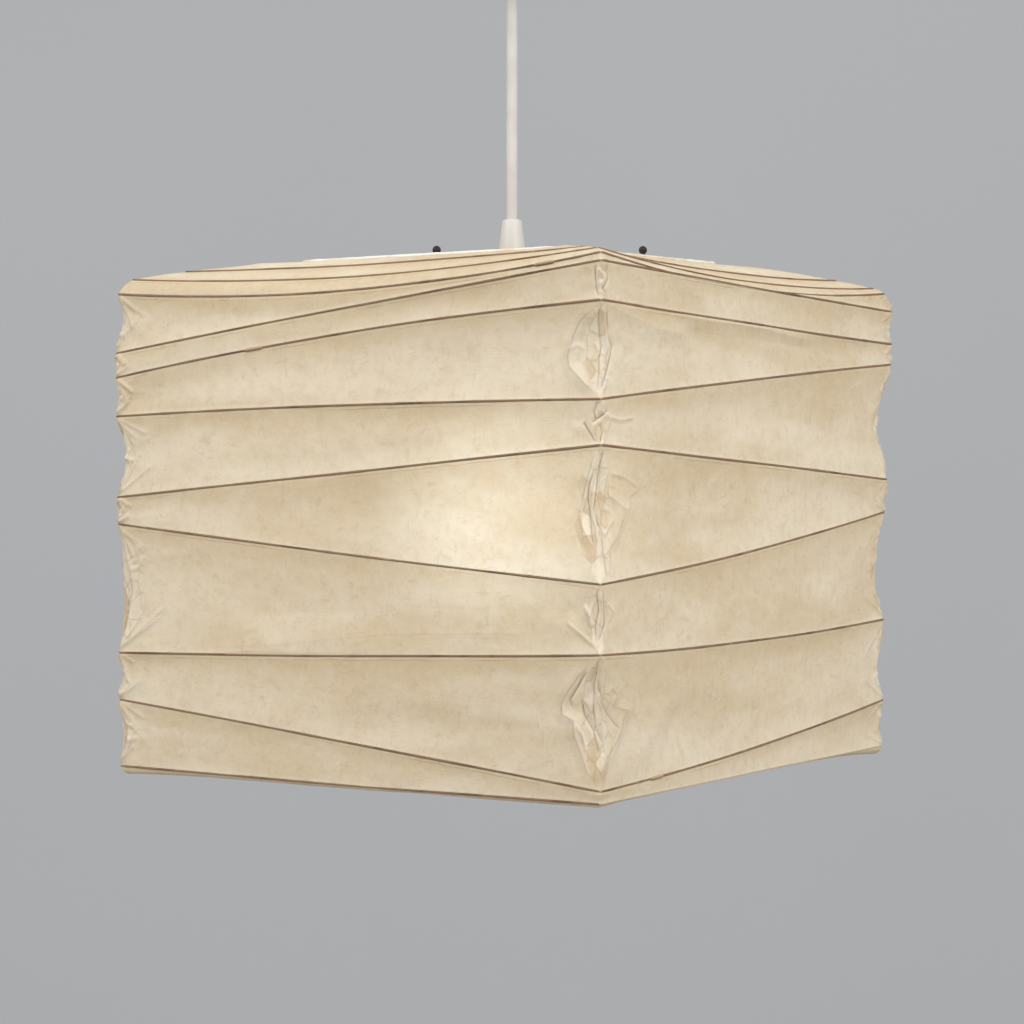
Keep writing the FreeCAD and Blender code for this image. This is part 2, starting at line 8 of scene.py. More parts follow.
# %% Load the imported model
import json
import math
import bpy
import numpy as np
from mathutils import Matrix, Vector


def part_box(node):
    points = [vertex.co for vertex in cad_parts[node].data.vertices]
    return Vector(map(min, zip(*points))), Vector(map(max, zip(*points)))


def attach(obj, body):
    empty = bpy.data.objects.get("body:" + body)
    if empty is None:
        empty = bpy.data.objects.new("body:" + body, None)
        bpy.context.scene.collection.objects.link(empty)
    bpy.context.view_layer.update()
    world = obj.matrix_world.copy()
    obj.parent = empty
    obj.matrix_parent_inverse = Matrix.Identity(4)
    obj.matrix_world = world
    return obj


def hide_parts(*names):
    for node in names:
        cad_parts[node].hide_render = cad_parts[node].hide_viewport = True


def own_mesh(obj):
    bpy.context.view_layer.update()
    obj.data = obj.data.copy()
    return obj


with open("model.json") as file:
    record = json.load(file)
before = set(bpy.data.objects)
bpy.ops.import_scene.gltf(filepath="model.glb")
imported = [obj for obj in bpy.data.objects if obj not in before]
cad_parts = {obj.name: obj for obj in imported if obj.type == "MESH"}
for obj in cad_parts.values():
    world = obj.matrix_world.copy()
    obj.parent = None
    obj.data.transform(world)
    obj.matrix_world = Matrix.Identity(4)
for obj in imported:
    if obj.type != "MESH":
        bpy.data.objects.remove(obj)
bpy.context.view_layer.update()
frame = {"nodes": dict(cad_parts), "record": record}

# %% [markdown]
# ## The camera
# The photograph was taken level, at about half the shade's height, with a long lens: the upright
# edges stay upright and the top shows only as a thin slope. A camera that doesn't tilt gives that, so it
# only needs a place and a turn about the upright axis.

# %% Place the camera
CAMERA_TURN = math.radians(33.76)
CAMERA_AWAY = 1.433
CAMERA_LEVEL = -0.340
LENS = 93.5             # this and the sensor's width in millimetres
SENSOR_WIDTH = 36.0
VIEW_REACH = 50.0

bpy.ops.object.select_all(action="DESELECT")
camera_spot = (CAMERA_AWAY * math.sin(CAMERA_TURN), -CAMERA_AWAY * math.cos(CAMERA_TURN), CAMERA_LEVEL)
bpy.ops.object.camera_add(location=camera_spot, rotation=(math.pi / 2, 0, CAMERA_TURN))
camera = bpy.context.object
camera.name = "photo_camera"
camera.data.lens = LENS
camera.data.sensor_width = SENSOR_WIDTH
camera.data.clip_end = VIEW_REACH
bpy.context.scene.camera = camera
print("camera at", [round(v, 3) for v in camera.location])

# %% [markdown]
# ## Words for finishes
# A finish is a tree of nodes. These helpers keep each tree short to write: one sets or joins a socket,
# and the others add the nodes that nearly every finish needs, such as noise, a soft step and a mix of
# two colours. Colours are given as a screen shows them and turned into the linear values shaders use.

# %% Helpers for the finishes
def tone(red, green, blue):
    """A colour from 0 to 255, as a screen shows it, in linear values."""
    shares = [c / 255 for c in (red, green, blue)]
    return tuple(c / 12.92 if c <= 0.04045 else ((c + 0.055) / 1.055) ** 2.4 for c in shares) + (1.0,)


def put(tree, node, socket, value):
    """Sets a socket to a number or a colour, or joins another node's output to it."""
    if isinstance(value, bpy.types.NodeSocket):
        tree.links.new(value, node.inputs[socket])
    else:
        node.inputs[socket].default_value = value


def add_node(tree, kind, settings=None, **sockets):
    node = tree.nodes.new(kind)
    for name, value in (settings or {}).items():
        setattr(node, name, value)
    for name, value in sockets.items():
        put(tree, node, name.replace("_", " "), value)
    return node


def new_finish(name, roughness=0.5, metallic=0.0):
    material = bpy.data.materials.new(name)
    material.use_nodes = True
    tree = material.node_tree
    shader = tree.nodes["Principled BSDF"]
    put(tree, shader, "Roughness", roughness)
    put(tree, shader, "Metallic", metallic)
    return material, tree, shader


def on_object(tree, scale=(1, 1, 1)):
    """Object coordinates, stretched by scale."""
    place = add_node(tree, "ShaderNodeTexCoord")
    return add_node(tree, "ShaderNodeMapping", Vector=place.outputs["Object"], Scale=scale).outputs[0]


def on_map(tree, name, scale=(1, 1, 1)):
    """One of the piece's own UV maps, stretched by scale."""
    place = add_node(tree, "ShaderNodeUVMap", {"uv_map": name})
    return add_node(tree, "ShaderNodeMapping", Vector=place.outputs[0], Scale=scale).outputs[0]


def mottle(tree, place, scale, detail=3.0, distortion=0.0):
    """Soft noise from 0 to 1."""
    node = add_node(tree, "ShaderNodeTexNoise", Vector=place, Scale=scale, Detail=detail,
                    Distortion=distortion)
    return node.outputs[0]


def reckon(tree, operation, first, second=0.0):
    node = add_node(tree, "ShaderNodeMath", {"operation": operation})
    put(tree, node, 0, first)
    put(tree, node, 1, second)
    return node.outputs[0]


def step(tree, value, start, end, low=0.0, high=1.0):
    """A soft step: low before start, high after end."""
    node = add_node(tree, "ShaderNodeMapRange", {"interpolation_type": "SMOOTHSTEP"})
    for socket, setting in zip(range(5), (value, start, end, low, high)):
        put(tree, node, socket, setting)
    return node.outputs[0]


def mix(tree, share, first, second, way="MIX"):
    node = add_node(tree, "ShaderNodeMix", {"data_type": "RGBA", "blend_type": way})
    put(tree, node, 0, share)
    put(tree, node, 6, first)
    put(tree, node, 7, second)
    return node.outputs[2]


def relief(tree, shader, height, strength, distance):
    node = add_node(tree, "ShaderNodeBump", Strength=strength, Distance=distance, Height=height)
    put(tree, shader, "Normal", node.outputs[0])


finishes = {}
print("finish helpers ready")

# %% [markdown]
# ## Helpers for shaping
# Most pieces start as one of Blender's primitives and are shaped in edit mode. Two starts come back again
# and again here. A turned piece starts as a ring that is extruded and resized from one station of its
# profile to the next, as a lathe would cut it. A strip starts as a flat grid, whose points are then moved
# to where the paper or the bamboo runs.

# %% Turned pieces
SAME_SPOT = 1e-6        # points closer than this are merged


def begin():
    if bpy.context.mode != "OBJECT":
        bpy.ops.object.mode_set(mode="OBJECT")
    bpy.ops.object.select_all(action="DESELECT")


def edit_all():
    bpy.ops.object.mode_set(mode="EDIT")
    bpy.ops.mesh.select_all(action="SELECT")


def pick(piece, *others):
    """Selects a piece, and others with it, and makes it the active one."""
    begin()
    for each in (*others, piece):
        each.select_set(True)
    bpy.context.view_layer.objects.active = piece


def shade_smooth(degrees):
    """Shades the picked piece smooth, but for edges sharper than this."""
    bpy.ops.object.shade_smooth_by_angle(angle=math.radians(degrees))


def join_to(core, extra, degrees):
    pick(core, extra)
    bpy.ops.object.join()
    shade_smooth(degrees)
    return core


def close_up(piece, gap=2 * SAME_SPOT):
    """Merges what lies in one place and turns all faces outwards."""
    pick(piece)
    edit_all()
    bpy.ops.mesh.remove_doubles(threshold=gap)
    bpy.ops.mesh.normals_make_consistent(inside=False)
    bpy.ops.object.mode_set(mode="OBJECT")


def soften(piece, width, segments=2, angle=30.0):
    """Rounds the sharp edges with a Bevel modifier, applied, and shades the faces smooth between them."""
    pick(piece)
    bevel = piece.modifiers.new("round_edges", "BEVEL")
    bevel.width = width
    bevel.segments = segments
    bevel.limit_method = "ANGLE"
    bevel.angle_limit = math.radians(angle)
    bpy.ops.object.modifier_apply(modifier=bevel.name)
    shade_smooth(40.0)


def turned(name, profile, sides=72):
    """A ring extruded along a closed profile of (radius, height) stations about the lamp's axis."""
    begin()
    radius, level = profile[0]
    bpy.ops.mesh.primitive_circle_add(vertices=sides, radius=radius, location=(0, 0, level))
    piece = bpy.context.object
    piece.name = name
    bpy.ops.object.transform_apply(location=True, rotation=True, scale=True)
    edit_all()
    for (before, start), (after, end) in zip(profile, profile[1:] + profile[:1]):
        bpy.ops.mesh.extrude_edges_move(TRANSFORM_OT_translate={"value": (0, 0, end - start)})
        share = after / before
        bpy.ops.transform.resize(value=(share, share, 1), center_override=(0, 0, end))
    close_up(piece)
    return piece


print("turned pieces ready")

# %% Strips laid from a grid
UP = np.array([0, 0, 1.0])


def points_of(mesh):
    """A mesh's points, one to a row."""
    spots = np.empty(len(mesh.vertices) * 3)
    mesh.vertices.foreach_get("co", spots)
    return spots.reshape(-1, 3)


def strip(name, columns, rows):
    """A grid of one by one, with each point's share along it and down it."""
    begin()
    bpy.ops.mesh.primitive_grid_add(x_subdivisions=columns, y_subdivisions=rows, size=1)
    piece = bpy.context.object
    piece.name = name
    spots = points_of(piece.data)
    return piece, spots[:, 0] + 0.5, 0.5 - spots[:, 1]


def lay(piece, spots):
    piece.data.vertices.foreach_set("co", np.ascontiguousarray(spots, dtype=np.float32).ravel())
    piece.data.update()


def lay_tube(piece, line, out, down, thick, wide=1.0, tall=1.0):
    """Lays a strip as a tube round a line, with its radius stretched outwards by wide and upwards by tall."""
    around = -2 * math.pi * down
    section = out * (wide * np.cos(around))[:, None] + UP * (tall * np.sin(around))[:, None]
    lay(piece, line + section * thick[:, None])


def lay_map(piece, name, across, down):
    """A UV map from one pair of numbers for each point."""
    mesh = piece.data
    layer = mesh.uv_layers.get(name) or mesh.uv_layers.new(name=name)
    point = np.empty(len(mesh.loops), dtype=np.int32)
    mesh.loops.foreach_get("vertex_index", point)
    layer.data.foreach_set("uv", np.stack([across[point], down[point]], axis=1).astype(np.float32).ravel())


print("strips ready")

# %% [markdown]
# ## The cord
# The cord is a round white sheath, pulled straight by the lamp's weight. It leaves the cord grip and runs
# up into the bush of the ceiling cup, just above the top of the picture. A cord is best made as a curve:
# one smooth spline for its line, with a round bevel for its thickness.

# %% Make the cord
CORD_DIAMETER = 0.006
CORD_IN_GRIP = 0.028
CORD_STATIONS = 6
CORD_ROUNDNESS = 8
CORD_SWAY_ROOM = 0.0016           # below the bush, so that the swaying end clears it
grip_low, grip_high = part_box("cord_grip")
bush_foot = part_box("canopy_bush")[0][2]
cord_foot = grip_high[2] - CORD_IN_GRIP
cord_top = bush_foot - CORD_SWAY_ROOM
cord_length = cord_top - cord_foot

cord_curve = bpy.data.curves.new("pendant_cord_sheath", "CURVE")
cord_curve.dimensions = "3D"
cord_curve.bevel_depth = 1.0      # times each point's own radius
cord_curve.bevel_resolution = CORD_ROUNDNESS
cord_curve.use_fill_caps = True
cord_line = cord_curve.splines.new("NURBS")
cord_line.points.add(CORD_STATIONS - 1)
for station, point in enumerate(cord_line.points):
    point.co = (0, 0, cord_foot + cord_length * station / (CORD_STATIONS - 1), 1)
    point.radius = CORD_DIAMETER / 2
cord_line.order_u = 3
cord_line.use_endpoint_u = True
cord = bpy.data.objects.new("pendant_cord_sheath", cord_curve)
bpy.context.scene.collection.objects.link(cord)
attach(cord, "pendant")
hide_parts("pendant_cord")
print("cord", round(cord_length, 4), "m, top at", round(cord_top, 4))

# %% [markdown]
# ## The hoops
# Each bamboo hoop goes once round the box and climbs or falls from one upright edge to the next. The
# solids already hold every hoop's size and its height at the four edges, so these are read from the frame
# and not written again. A real strip of bamboo also sags or rises a little along a side and is never
# quite straight, and the paper follows it, so that is added here for both.

# %% Read the hoops from the solids
RIB_RADIUS = 0.0007
BINDING_RADIUS = 0.0014
EDGE_REACH = 0.006
EDGES = ((-1, -1), (1, -1), (1, 1), (-1, 1))    # left, near, right and far upright edge
NEAR = 1
SIDE_ALONG = np.array([(1, 0), (0, 1), (-1, 0), (0, -1)])
SIDE_OUT = np.array([(0, -1), (1, 0), (0, 1), (-1, 0)])
RIB_NAMES = ["rib_top_inner", "rib_top_outer"] + [f"rib_{k}" for k in range(1, 10)] + ["rib_base"]
# How far a hoop bows upwards in the middle of the front, right, back and left side
BOWS = {
    "rib_top_inner": (-0.0020, -0.0035, -0.002, -0.002),
    "rib_top_outer": (-0.0060, -0.0060, -0.004, -0.005),
    "rib_1": (-0.0080, -0.0075, -0.005, -0.006),
    "rib_2": (0.0008, -0.0003, 0.001, 0.001),
    "rib_3": (0.004, -0.0005, 0.002, -0.002),
    "rib_4": (0.0015, 0.0007, 0.001, 0.001),
    "rib_5": (0.0, 0.0003, 0.001, -0.001),
    "rib_6": (-0.0008, -0.0026, -0.001, 0.001),
    "rib_7": (-0.001, -0.0025, 0.002, 0.001),
    "rib_8": (0.0004, -0.0030, -0.001, 0.001),
    "rib_9": (-0.0006, 0.0, 0.0, 0.0),
}
# How far a hoop stands out at the left, near, right and far edge, in x and in y, and how far it is
# lifted there
NO_CHANGE = (0, 0, 0, 0)
PUSHES = {
    "rib_top_inner": (-0.0025, 0, 0.0025, 0), "rib_top_outer": (0, 0, 0.0008, 0),
    "rib_2": (0, 0, 0.0023, 0), "rib_3": (0, 0, 0.0023, 0), "rib_4": (0, 0, 0.0021, 0),
    "rib_5": (0, 0, 0.0008, 0),
}
LIFTS = {
    "rib_top_inner": (0.0009,) * 4, "rib_top_outer": (0.0005,) * 4, "rib_base": (0.0025,) * 4,
    "rib_2": (-0.0013, -0.0003, 0, 0), "rib_5": (-0.0004, 0.0010, 0, 0), "rib_6": (0, -0.0007, -0.0006, 0),
    "rib_7": (-0.0006, -0.0011, -0.0004, 0), "rib_8": (0.0002, -0.0009, -0.0008, 0),
}
WOBBLE = 0.00012
WOBBLE_SHIFT = 2.1      # from each side to the next, in radians


def read_hoop(node, radius):
    """A hoop's size, its heights at the four edges, and the solid's own mean height."""
    spots = points_of(frame["nodes"][node].data)
    low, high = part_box(node)
    half = (high[0] - low[0]) / 2 - radius
    found = []
    for x, y in EDGES:
        close = (spots[:, 0] * x > half - EDGE_REACH) & (spots[:, 1] * y > half - EDGE_REACH)
        found.append(float(spots[close, 2].mean()))
    levels = [level + lift for level, lift in zip(found, LIFTS.get(node, NO_CHANGE))]
    return {
        "name": node, "half": half, "levels": levels, "anchor": float(np.mean(found)),
        "bows": BOWS.get(node, NO_CHANGE), "push": PUSHES.get(node, NO_CHANGE),
        "hand": 0.0 if "binding" in node else WOBBLE,
    }


hoops = [read_hoop("top_rim_binding", BINDING_RADIUS)]
hoops += [read_hoop(name, RIB_RADIUS) for name in RIB_NAMES]
hoops += [read_hoop("bottom_rim_binding", BINDING_RADIUS)]
for hoop in hoops:
    print(hoop["name"], round(hoop["half"], 4), [round(v, 4) for v in hoop["levels"]])

# %% Follow a hoop round the box
CORNER_RADIUS = 0.0024
RIM_CORNER_RADIUS = 0.006
# Over this length from an upright edge the way outwards turns from one side's to the next's
TURNING_REACH = 0.020


def square_path(half, turn, corner):
    """Points round a square with round corners and the way outwards there. Turn goes from 0 to 4."""
    side = np.minimum(turn.astype(int), 3)
    share = turn - side
    from_edge = np.minimum(share, 1 - share) * 2 * half
    lean = np.clip(1 - from_edge / corner, 0, 1) * math.pi / 4
    way = np.where(share < 0.5, -1, 1)
    round_part = way * (half - corner + corner * np.sin(lean))
    along = np.where(lean > 0, round_part, (share - 0.5) * 2 * half)
    out = half - corner + corner * np.cos(lean)
    spots = SIDE_ALONG[side] * along[:, None] + SIDE_OUT[side] * out[:, None]
    facing = SIDE_ALONG[side] * (way * np.sin(lean))[:, None] + SIDE_OUT[side] * np.cos(lean)[:, None]
    return spots, facing


def hoop_line(hoop, turn):
    """The hoop's middle line in space, and the level way outwards, at each turn."""
    side = np.minimum(turn.astype(int), 3)
    share = turn - side
    levels = np.array(hoop["levels"] + hoop["levels"][:1])
    level = levels[side] * (1 - share) + levels[side + 1] * share
    level = level + np.array(hoop["bows"])[side] * 4 * share * (1 - share)
    beat = 2 + hoop["levels"][1] * 1e3 % 2
    wave = hoop["hand"] * np.sin(beat * math.pi * share + side * WOBBLE_SHIFT)
    level = level + wave * np.sin(math.pi * share)
    corner = RIM_CORNER_RADIUS if "binding" in hoop["name"] else CORNER_RADIUS
    spots, _ = square_path(hoop["half"], turn, corner)
    _, facing = square_path(hoop["half"], turn, TURNING_REACH)
    for edge, push in enumerate(hoop["push"]):
        share_of_edge = np.clip(1 - np.abs((turn - edge + 2) % 4 - 2), 0, 1)
        spots = spots + push * share_of_edge[:, None] * np.array(EDGES[edge])
    flat = np.zeros(len(turn))
    return np.column_stack([spots, level]), np.column_stack([facing, flat])


print("corner radius", CORNER_RADIUS)

# %% [markdown]
# ## The paper bands
# A band of paper is pasted from each hoop to the next. Between the hoops the paper is drawn in. At the
# upright edges, where it has to turn the corner, it gathers: a lens of flat facets with a crumpled bead
# down its middle, and creases that spread like rays from the ends of the bamboo. A cloth simulation would
# only make it bag, and a displaced noise wouldn't know where the hoops are. So each band is a strip whose
# points are moved by rule: first along the two hoops, then drawn in, then creased.

# %% Noise with a fixed seed
def wrinkle(across, down, across_size, down_size, seed, round_length):
    """Smooth noise from -1 to 1 that closes on itself after round_length across."""
    count = max(2, round(round_length / across_size))
    rows = int(np.ceil(down.max() / down_size)) + 3
    grid = np.random.default_rng(seed).uniform(-1, 1, (count, rows))
    x = across / round_length * count
    y = down / down_size
    left = np.floor(x).astype(int)
    upper = np.floor(y).astype(int)
    right_share = x - left
    lower_share = y - upper
    right_share = right_share * right_share * (3 - 2 * right_share)
    lower_share = lower_share * lower_share * (3 - 2 * lower_share)
    near = grid[left % count, upper] * (1 - lower_share) + grid[left % count, upper + 1] * lower_share
    far = grid[(left + 1) % count, upper] * (1 - lower_share)
    far = far + grid[(left + 1) % count, upper + 1] * lower_share
    return near * (1 - right_share) + far * right_share


print("noise ready")

# %% [markdown]
# ## Creases in the paper
# A crease is a line where two flat facets meet. Each one here is a short chain of points, given as the
# distance from the upright edge in millimetres and the share of the way down the band. The paper rises or
# falls to the line like a tent. The line itself and the facet on its left are painted darker, as shade in
# the fold, and a painted glint lies beside it, with the facet on its right painted lighter, where the fold
# would catch the light. At the near edge, which faces the camera, the creases are placed one by one. At
# the other edges they are drawn by chance with the same character.

# %% Kinds of crease
# Height outwards and half width of its facets in metres, then how dark its line's painted shade and how
# bright its painted glint are
CREASES = {
    "valley": (-0.0009, 0.0018, 0.80, 0.55),
    "ridge": (0.0008, 0.0020, 0.15, 0.55),
    "lens": (0.0010, 0.0050, 0.42, 0.36),
    "soft": (0.0010, 0.0090, 0.08, 0.14),
    "ray": (0.0005, 0.0016, 0.32, 0.26),
}
LINE_WIDTH = 0.00040
GLINT_OFFSET = 0.0008
GLINT_WIDTH = 0.00045
END_FADE = 0.12
FACET_SHADE = 0.22
FACET_LIGHT = 0.30


def from_line(points, across, down):
    """The distance from a chain of points, positive on its right, and the share along it."""
    nearest = np.full(len(across), np.inf)
    side = np.ones(len(across))
    place = np.zeros(len(across))
    spans = [math.dist(a, b) for a, b in zip(points, points[1:])]
    passed = 0.0
    for (x, y), (next_x, next_y), span in zip(points, points[1:], spans):
        run_x, run_y = next_x - x, next_y - y
        reach = np.clip(((across - x) * run_x + (down - y) * run_y) / span ** 2, 0, 1)
        off_x = across - x - reach * run_x
        off_y = down - y - reach * run_y
        distance = np.hypot(off_x, off_y)
        closer = distance < nearest
        nearest = np.where(closer, distance, nearest)
        side = np.where(closer, np.where(run_y * off_x - run_x * off_y < 0, -1, 1), side)
        place = np.where(closer, (passed + reach * span) / sum(spans), place)
        passed += span
    return nearest * side, place


def crease(kind, points, across, down):
    """The height that one crease adds, outwards, and its painted shade and painted glint."""
    height, facet, dark, bright = CREASES[kind]
    distance, place = from_line(points, across, down)
    fade = np.clip(np.minimum(place, 1 - place) / END_FADE, 0, 1)
    tent = np.clip(1 - np.abs(distance) / facet, 0, 1)
    line = np.exp(-(distance / LINE_WIDTH) ** 2) + FACET_SHADE * tent * (distance < 0)
    glint = np.exp(-((distance - GLINT_OFFSET) / GLINT_WIDTH) ** 2) + FACET_LIGHT * tent * (distance > 0)
    return height * fade * tent, dark * fade * line, bright * fade * glint


print("kinds of crease", sorted(CREASES))

# %% Creases at the near edge
# For each side band: the kind, then points of (millimetres right of the edge, share down the band)
NEAR_CREASES = {
    2: (("valley", (-3.3, .10), (-3, .44), (-2.2, .74), (-1.1, .94)),
        ("valley", (3.3, .10), (3.9, .47), (1.1, .71), (3.9, .87)),
        ("ridge", (-2.6, .20), (0.6, .34), (3.4, .44)),
        ("ridge", (3, .52), (-.4, .60), (-2.2, .72)),
        ("ray", (-1.8, .78), (1.2, .84), (3.4, .90))),
    3: (("lens", (-3, .06), (-12, .20), (-15.6, .33), (-19, .54), (-18.2, .66), (-14.1, .74), (-8.9, .85),
         (-3.3, .94)),
        ("valley", (-1.5, .03), (-.4, .20), (0, .33), (1.6, .47), (0, .57), (-.4, .73), (-2.2, .92)),
        ("valley", (3.3, .03), (4.4, .20), (6.1, .38), (8.3, .46), (6.6, .61), (3.3, .77), (-1.5, .92)),
        ("ridge", (1, .04), (2.4, .24), (3.6, .38), (4.4, .48), (3.2, .60), (1.4, .76), (-1.8, .90)),
        ("soft", (7.7, .23), (14.3, .45), (12.7, .59), (15.5, .73)),
        ("ray", (-4, .42), (-1.6, .50), (0.6, .56)),
        ("soft", (3.3, .04), (20, .15), (33, .24), (53, .30)),
        ("soft", (40, .03), (104, .08), (143, .21)),
        ("ray", (-9, .50), (-14, .44), (-20, .50))),
    4: (("valley", (-1.5, .05), (-3.9, .28), (-2.6, .46)),
        ("valley", (3.9, .26), (-1.9, .43), (-5.6, .50)),
        ("valley", (-10, .46), (-6.3, .69), (-2.6, .95)),
        ("valley", (-.7, .52), (1.1, .72), (-.2, .95)),
        ("ridge", (1.6, .08), (.4, .24), (2.8, .36)),
        ("ridge", (3, .30), (5.6, .48), (2.4, .74)),
        ("ray", (4, .40), (12, .48), (20, .44))),
    5: (("lens", (-3.1, .03), (-9.2, .30), (-10.8, .41), (-13, .50), (-11.1, .59), (-7.3, .68), (-4.4, .74),
         (-2.2, .90)),
        ("valley", (1.5, .03), (0, .16), (-1.6, .31), (-3.1, .43), (-4.7, .48)),
        ("valley", (-3.1, .50), (-.3, .56), (2.5, .63), (2.9, .75), (3.4, .95)),
        ("valley", (-3.8, .19), (-6.7, .28), (-7.3, .38), (-6, .48), (-4.7, .65), (-2.2, .85)),
        ("ridge", (-1.2, .04), (-2.6, .20), (-4.6, .34), (-5.8, .46), (-2.4, .60), (0.2, .74), (1, .94)),
        ("lens", (5.3, .23), (5.8, .36), (16.6, .47), (13.8, .57), (10, .68), (6.3, .75), (4.8, .95)),
        ("ray", (25, .31), (20, .36), (19, .45), (16.6, .47)),
        ("ridge", (3.6, .66), (6.2, .60), (9, .54)),
        ("ray", (6, .20), (14, .22), (24, .30))),
    6: (("valley", (-2.4, .06), (-.3, .37), (-2.4, .59), (-2, .83)),
        ("valley", (1.5, .08), (2.8, .39), (2.8, .59), (-1.5, .83)),
        ("ridge", (-.6, .10), (1.2, .38), (.4, .58), (-1.6, .80)),
        ("ray", (-19.8, .55), (-10, .74), (-3.2, .89)),
        ("ridge", (-10, .30), (-6.6, .44), (-4.6, .62)),
        ("ray", (4, .28), (7.8, .41), (5, .55)),
        ("soft", (-34, .71), (-122, .78), (-182, .89), (-235, .95))),
    7: (("lens", (-5.1, .05), (-11.9, .15), (-18.7, .29), (-22.1, .37), (-21.7, .46), (-15.3, .50),
         (-14.5, .62), (-11.1, .73), (-7.7, .87), (-3.4, .93)),
        ("valley", (-8, .12), (-13, .24), (-17.5, .34), (-16, .41)),
        ("valley", (-11, .32), (-9.4, .45), (-3.4, .56), (0, .70), (1.3, .75)),
        ("valley", (-1.3, .05), (-1.7, .14), (-3, .22), (-3.4, .41), (-1.7, .55), (3.8, .67)),
        ("valley", (-.8, .20), (2.5, .35), (5, .41), (10, .52), (12.9, .57)),
        ("lens", (8.8, .39), (17.6, .44), (14.1, .50), (13.2, .57), (6.3, .73), (2.5, .80), (-2.5, .94)),
        ("ridge", (1.6, .05), (1.4, .20), (.6, .42), (2.4, .58), (3.4, .70), (1, .86), (-.6, .95)),
        ("ray", (-15, .52), (-11, .60), (-8, .74)),
        ("ray", (7, .24), (11, .30), (9, .40)),
        ("soft", (50, .27), (44, .42), (36, .54), (29, .69), (24, .78), (5, .91))),
}
RIGHT_STRETCH = 1.5     # the facets on the right of the edge turn away, so they are wider than they look


def near_creases(number, gap):
    """The placed creases of one band, in metres along and down it."""
    lines = []
    for kind, *points in NEAR_CREASES[number]:
        lines.append((kind, [((x * RIGHT_STRETCH if x > 0 else x) / 1000, y * gap) for x, y in points]))
    return lines


print("bands with placed creases", sorted(NEAR_CREASES))

# %% Creases drawn by chance
SMALLEST_GATHER = 0.007
BEAD_SHARES = np.array([0.04, 0.20, 0.36, 0.50, 0.66, 0.82, 0.95])
LENS_OUTLINE = np.array([0.12, 0.48, 0.86, 1.00, 0.76, 0.42, 0.12])
LENS_WIDTHS = (0.10, 0.18)      # as shares of the gap, like the lengths of the rays
BRANCHES = 2
RAY_ENDS = (0.03, 0.97)
RAYS = 3
RAY_LENGTHS = (0.25, 0.6)
RAY_EXTRA = 0.004
RAY_START = 0.0015


def chance_creases(gap, dice):
    """A wandering bead, a lens and some rays for an upright edge with this gap between its hoops."""
    if gap < SMALLEST_GATHER:
        return []
    down = BEAD_SHARES * gap
    middle = np.sin(dice.uniform(0, 6) + BEAD_SHARES * dice.uniform(5, 8)) * 0.05 * gap
    middle = (middle + dice.uniform(-0.02, 0.02, 7) * gap) * np.sin(math.pi * BEAD_SHARES)
    bead = dice.uniform(0.0010, 0.0020, 7)
    lines = [("valley", list(zip(middle - bead, down))), ("valley", list(zip(middle + bead, down)))]
    for way in (-1, 1):
        outline = LENS_OUTLINE + dice.uniform(-0.1, 0.1, 7)
        lines.append(("lens", list(zip(way * dice.uniform(*LENS_WIDTHS) * gap * outline, down))))
        for branch in range(BRANCHES):
            x, y = way * dice.uniform(0.05, 0.16) * gap, dice.uniform(0.25, 0.75) * gap
            end_x, end_y = x + way * dice.uniform(0.06, 0.2) * gap, y + dice.uniform(-0.2, 0.2) * gap
            bend_x, bend_y = (x + end_x) / 2, (y + end_y) / 2 + 0.04 * gap
            lines.append(("ridge", [(x, y), (bend_x, bend_y), (end_x, end_y)]))
        for end in RAY_ENDS:
            for ray in range(RAYS):
                angle = dice.uniform(0.25, 1.2)
                length = dice.uniform(*RAY_LENGTHS) * gap + RAY_EXTRA
                x, y = way * RAY_START, end * gap
                fall = length * math.cos(angle) * (1 if end < 0.5 else -1)
                lines.append(("ray", [(x, y), (x + way * length * math.sin(angle), y + fall)]))
    return lines


print("lens outline", LENS_OUTLINE.tolist())

# %% Draw the paper in and crease it
LENS_REACH = (0.22, 0.34)
LENS_TAPER = 0.75
LENS_SLOPE = 3
FULL_GATHER = 0.03      # from this gap between two hoops on, the paper gathers fully
HELD_BY_PASTE = 0.0016
SIDE_DRAW = 0.026       # how far the paper is drawn in at the middle of a side, per metre between two hoops
# The same at the left, near, right and far upright edge of each side band
EDGE_DRAW = {
    1: (0.097, 0.060, -0.120, 0.080), 2: (0.100, 0.080, 0.120, 0.080), 3: (0.080, 0.078, 0.127, 0.080),
    4: (0.112, 0.080, 0.103, 0.080), 5: (0.080, 0.085, 0.100, 0.090), 6: (0.046, 0.070, 0.088, 0.080),
    7: (0.090, 0.080, 0.075, 0.080), 8: (0.057, 0.060, 0.073, 0.060),
}


def gather(turn, half, share, gap, edge_gaps, number, seed):
    """How far a side band stands in, its creases' painted shade and painted glint, and how gathered it is, at
    each point.
    """
    swell = np.sin(math.pi * share)
    depth = SIDE_DRAW * gap * 4 * share * (1 - share)
    held = np.clip(np.minimum(share, 1 - share) * gap / HELD_BY_PASTE, 0, 1)
    dark, bright, lens = np.zeros((3, len(turn)))
    dice = np.random.default_rng(seed)
    for edge, (edge_gap, draw) in enumerate(zip(edge_gaps, EDGE_DRAW[number])):
        along = ((turn - edge + 2) % 4 - 2) * 2 * half
        left, right = dice.uniform(*LENS_REACH, 2) * edge_gap
        width = np.where(along < 0, left, right) * swell ** LENS_TAPER + 1e-5
        facet = np.clip(1 - np.abs(along) / width, 0, 1)
        depth = depth + (draw - SIDE_DRAW) * edge_gap * swell * facet
        lens = np.maximum(lens, np.minimum(LENS_SLOPE * facet, 1) * min(1, edge_gap / FULL_GATHER))
        lines = chance_creases(edge_gap, dice)
        if edge == NEAR and number in NEAR_CREASES:
            lines = near_creases(number, edge_gap)
        for kind, points in lines:
            height, line, glint = crease(kind, points, along, share * edge_gap)
            depth = depth - height * held
            dark = np.maximum(dark, line * held)
            bright = np.maximum(bright, glint * held)
    return depth, dark, bright, lens


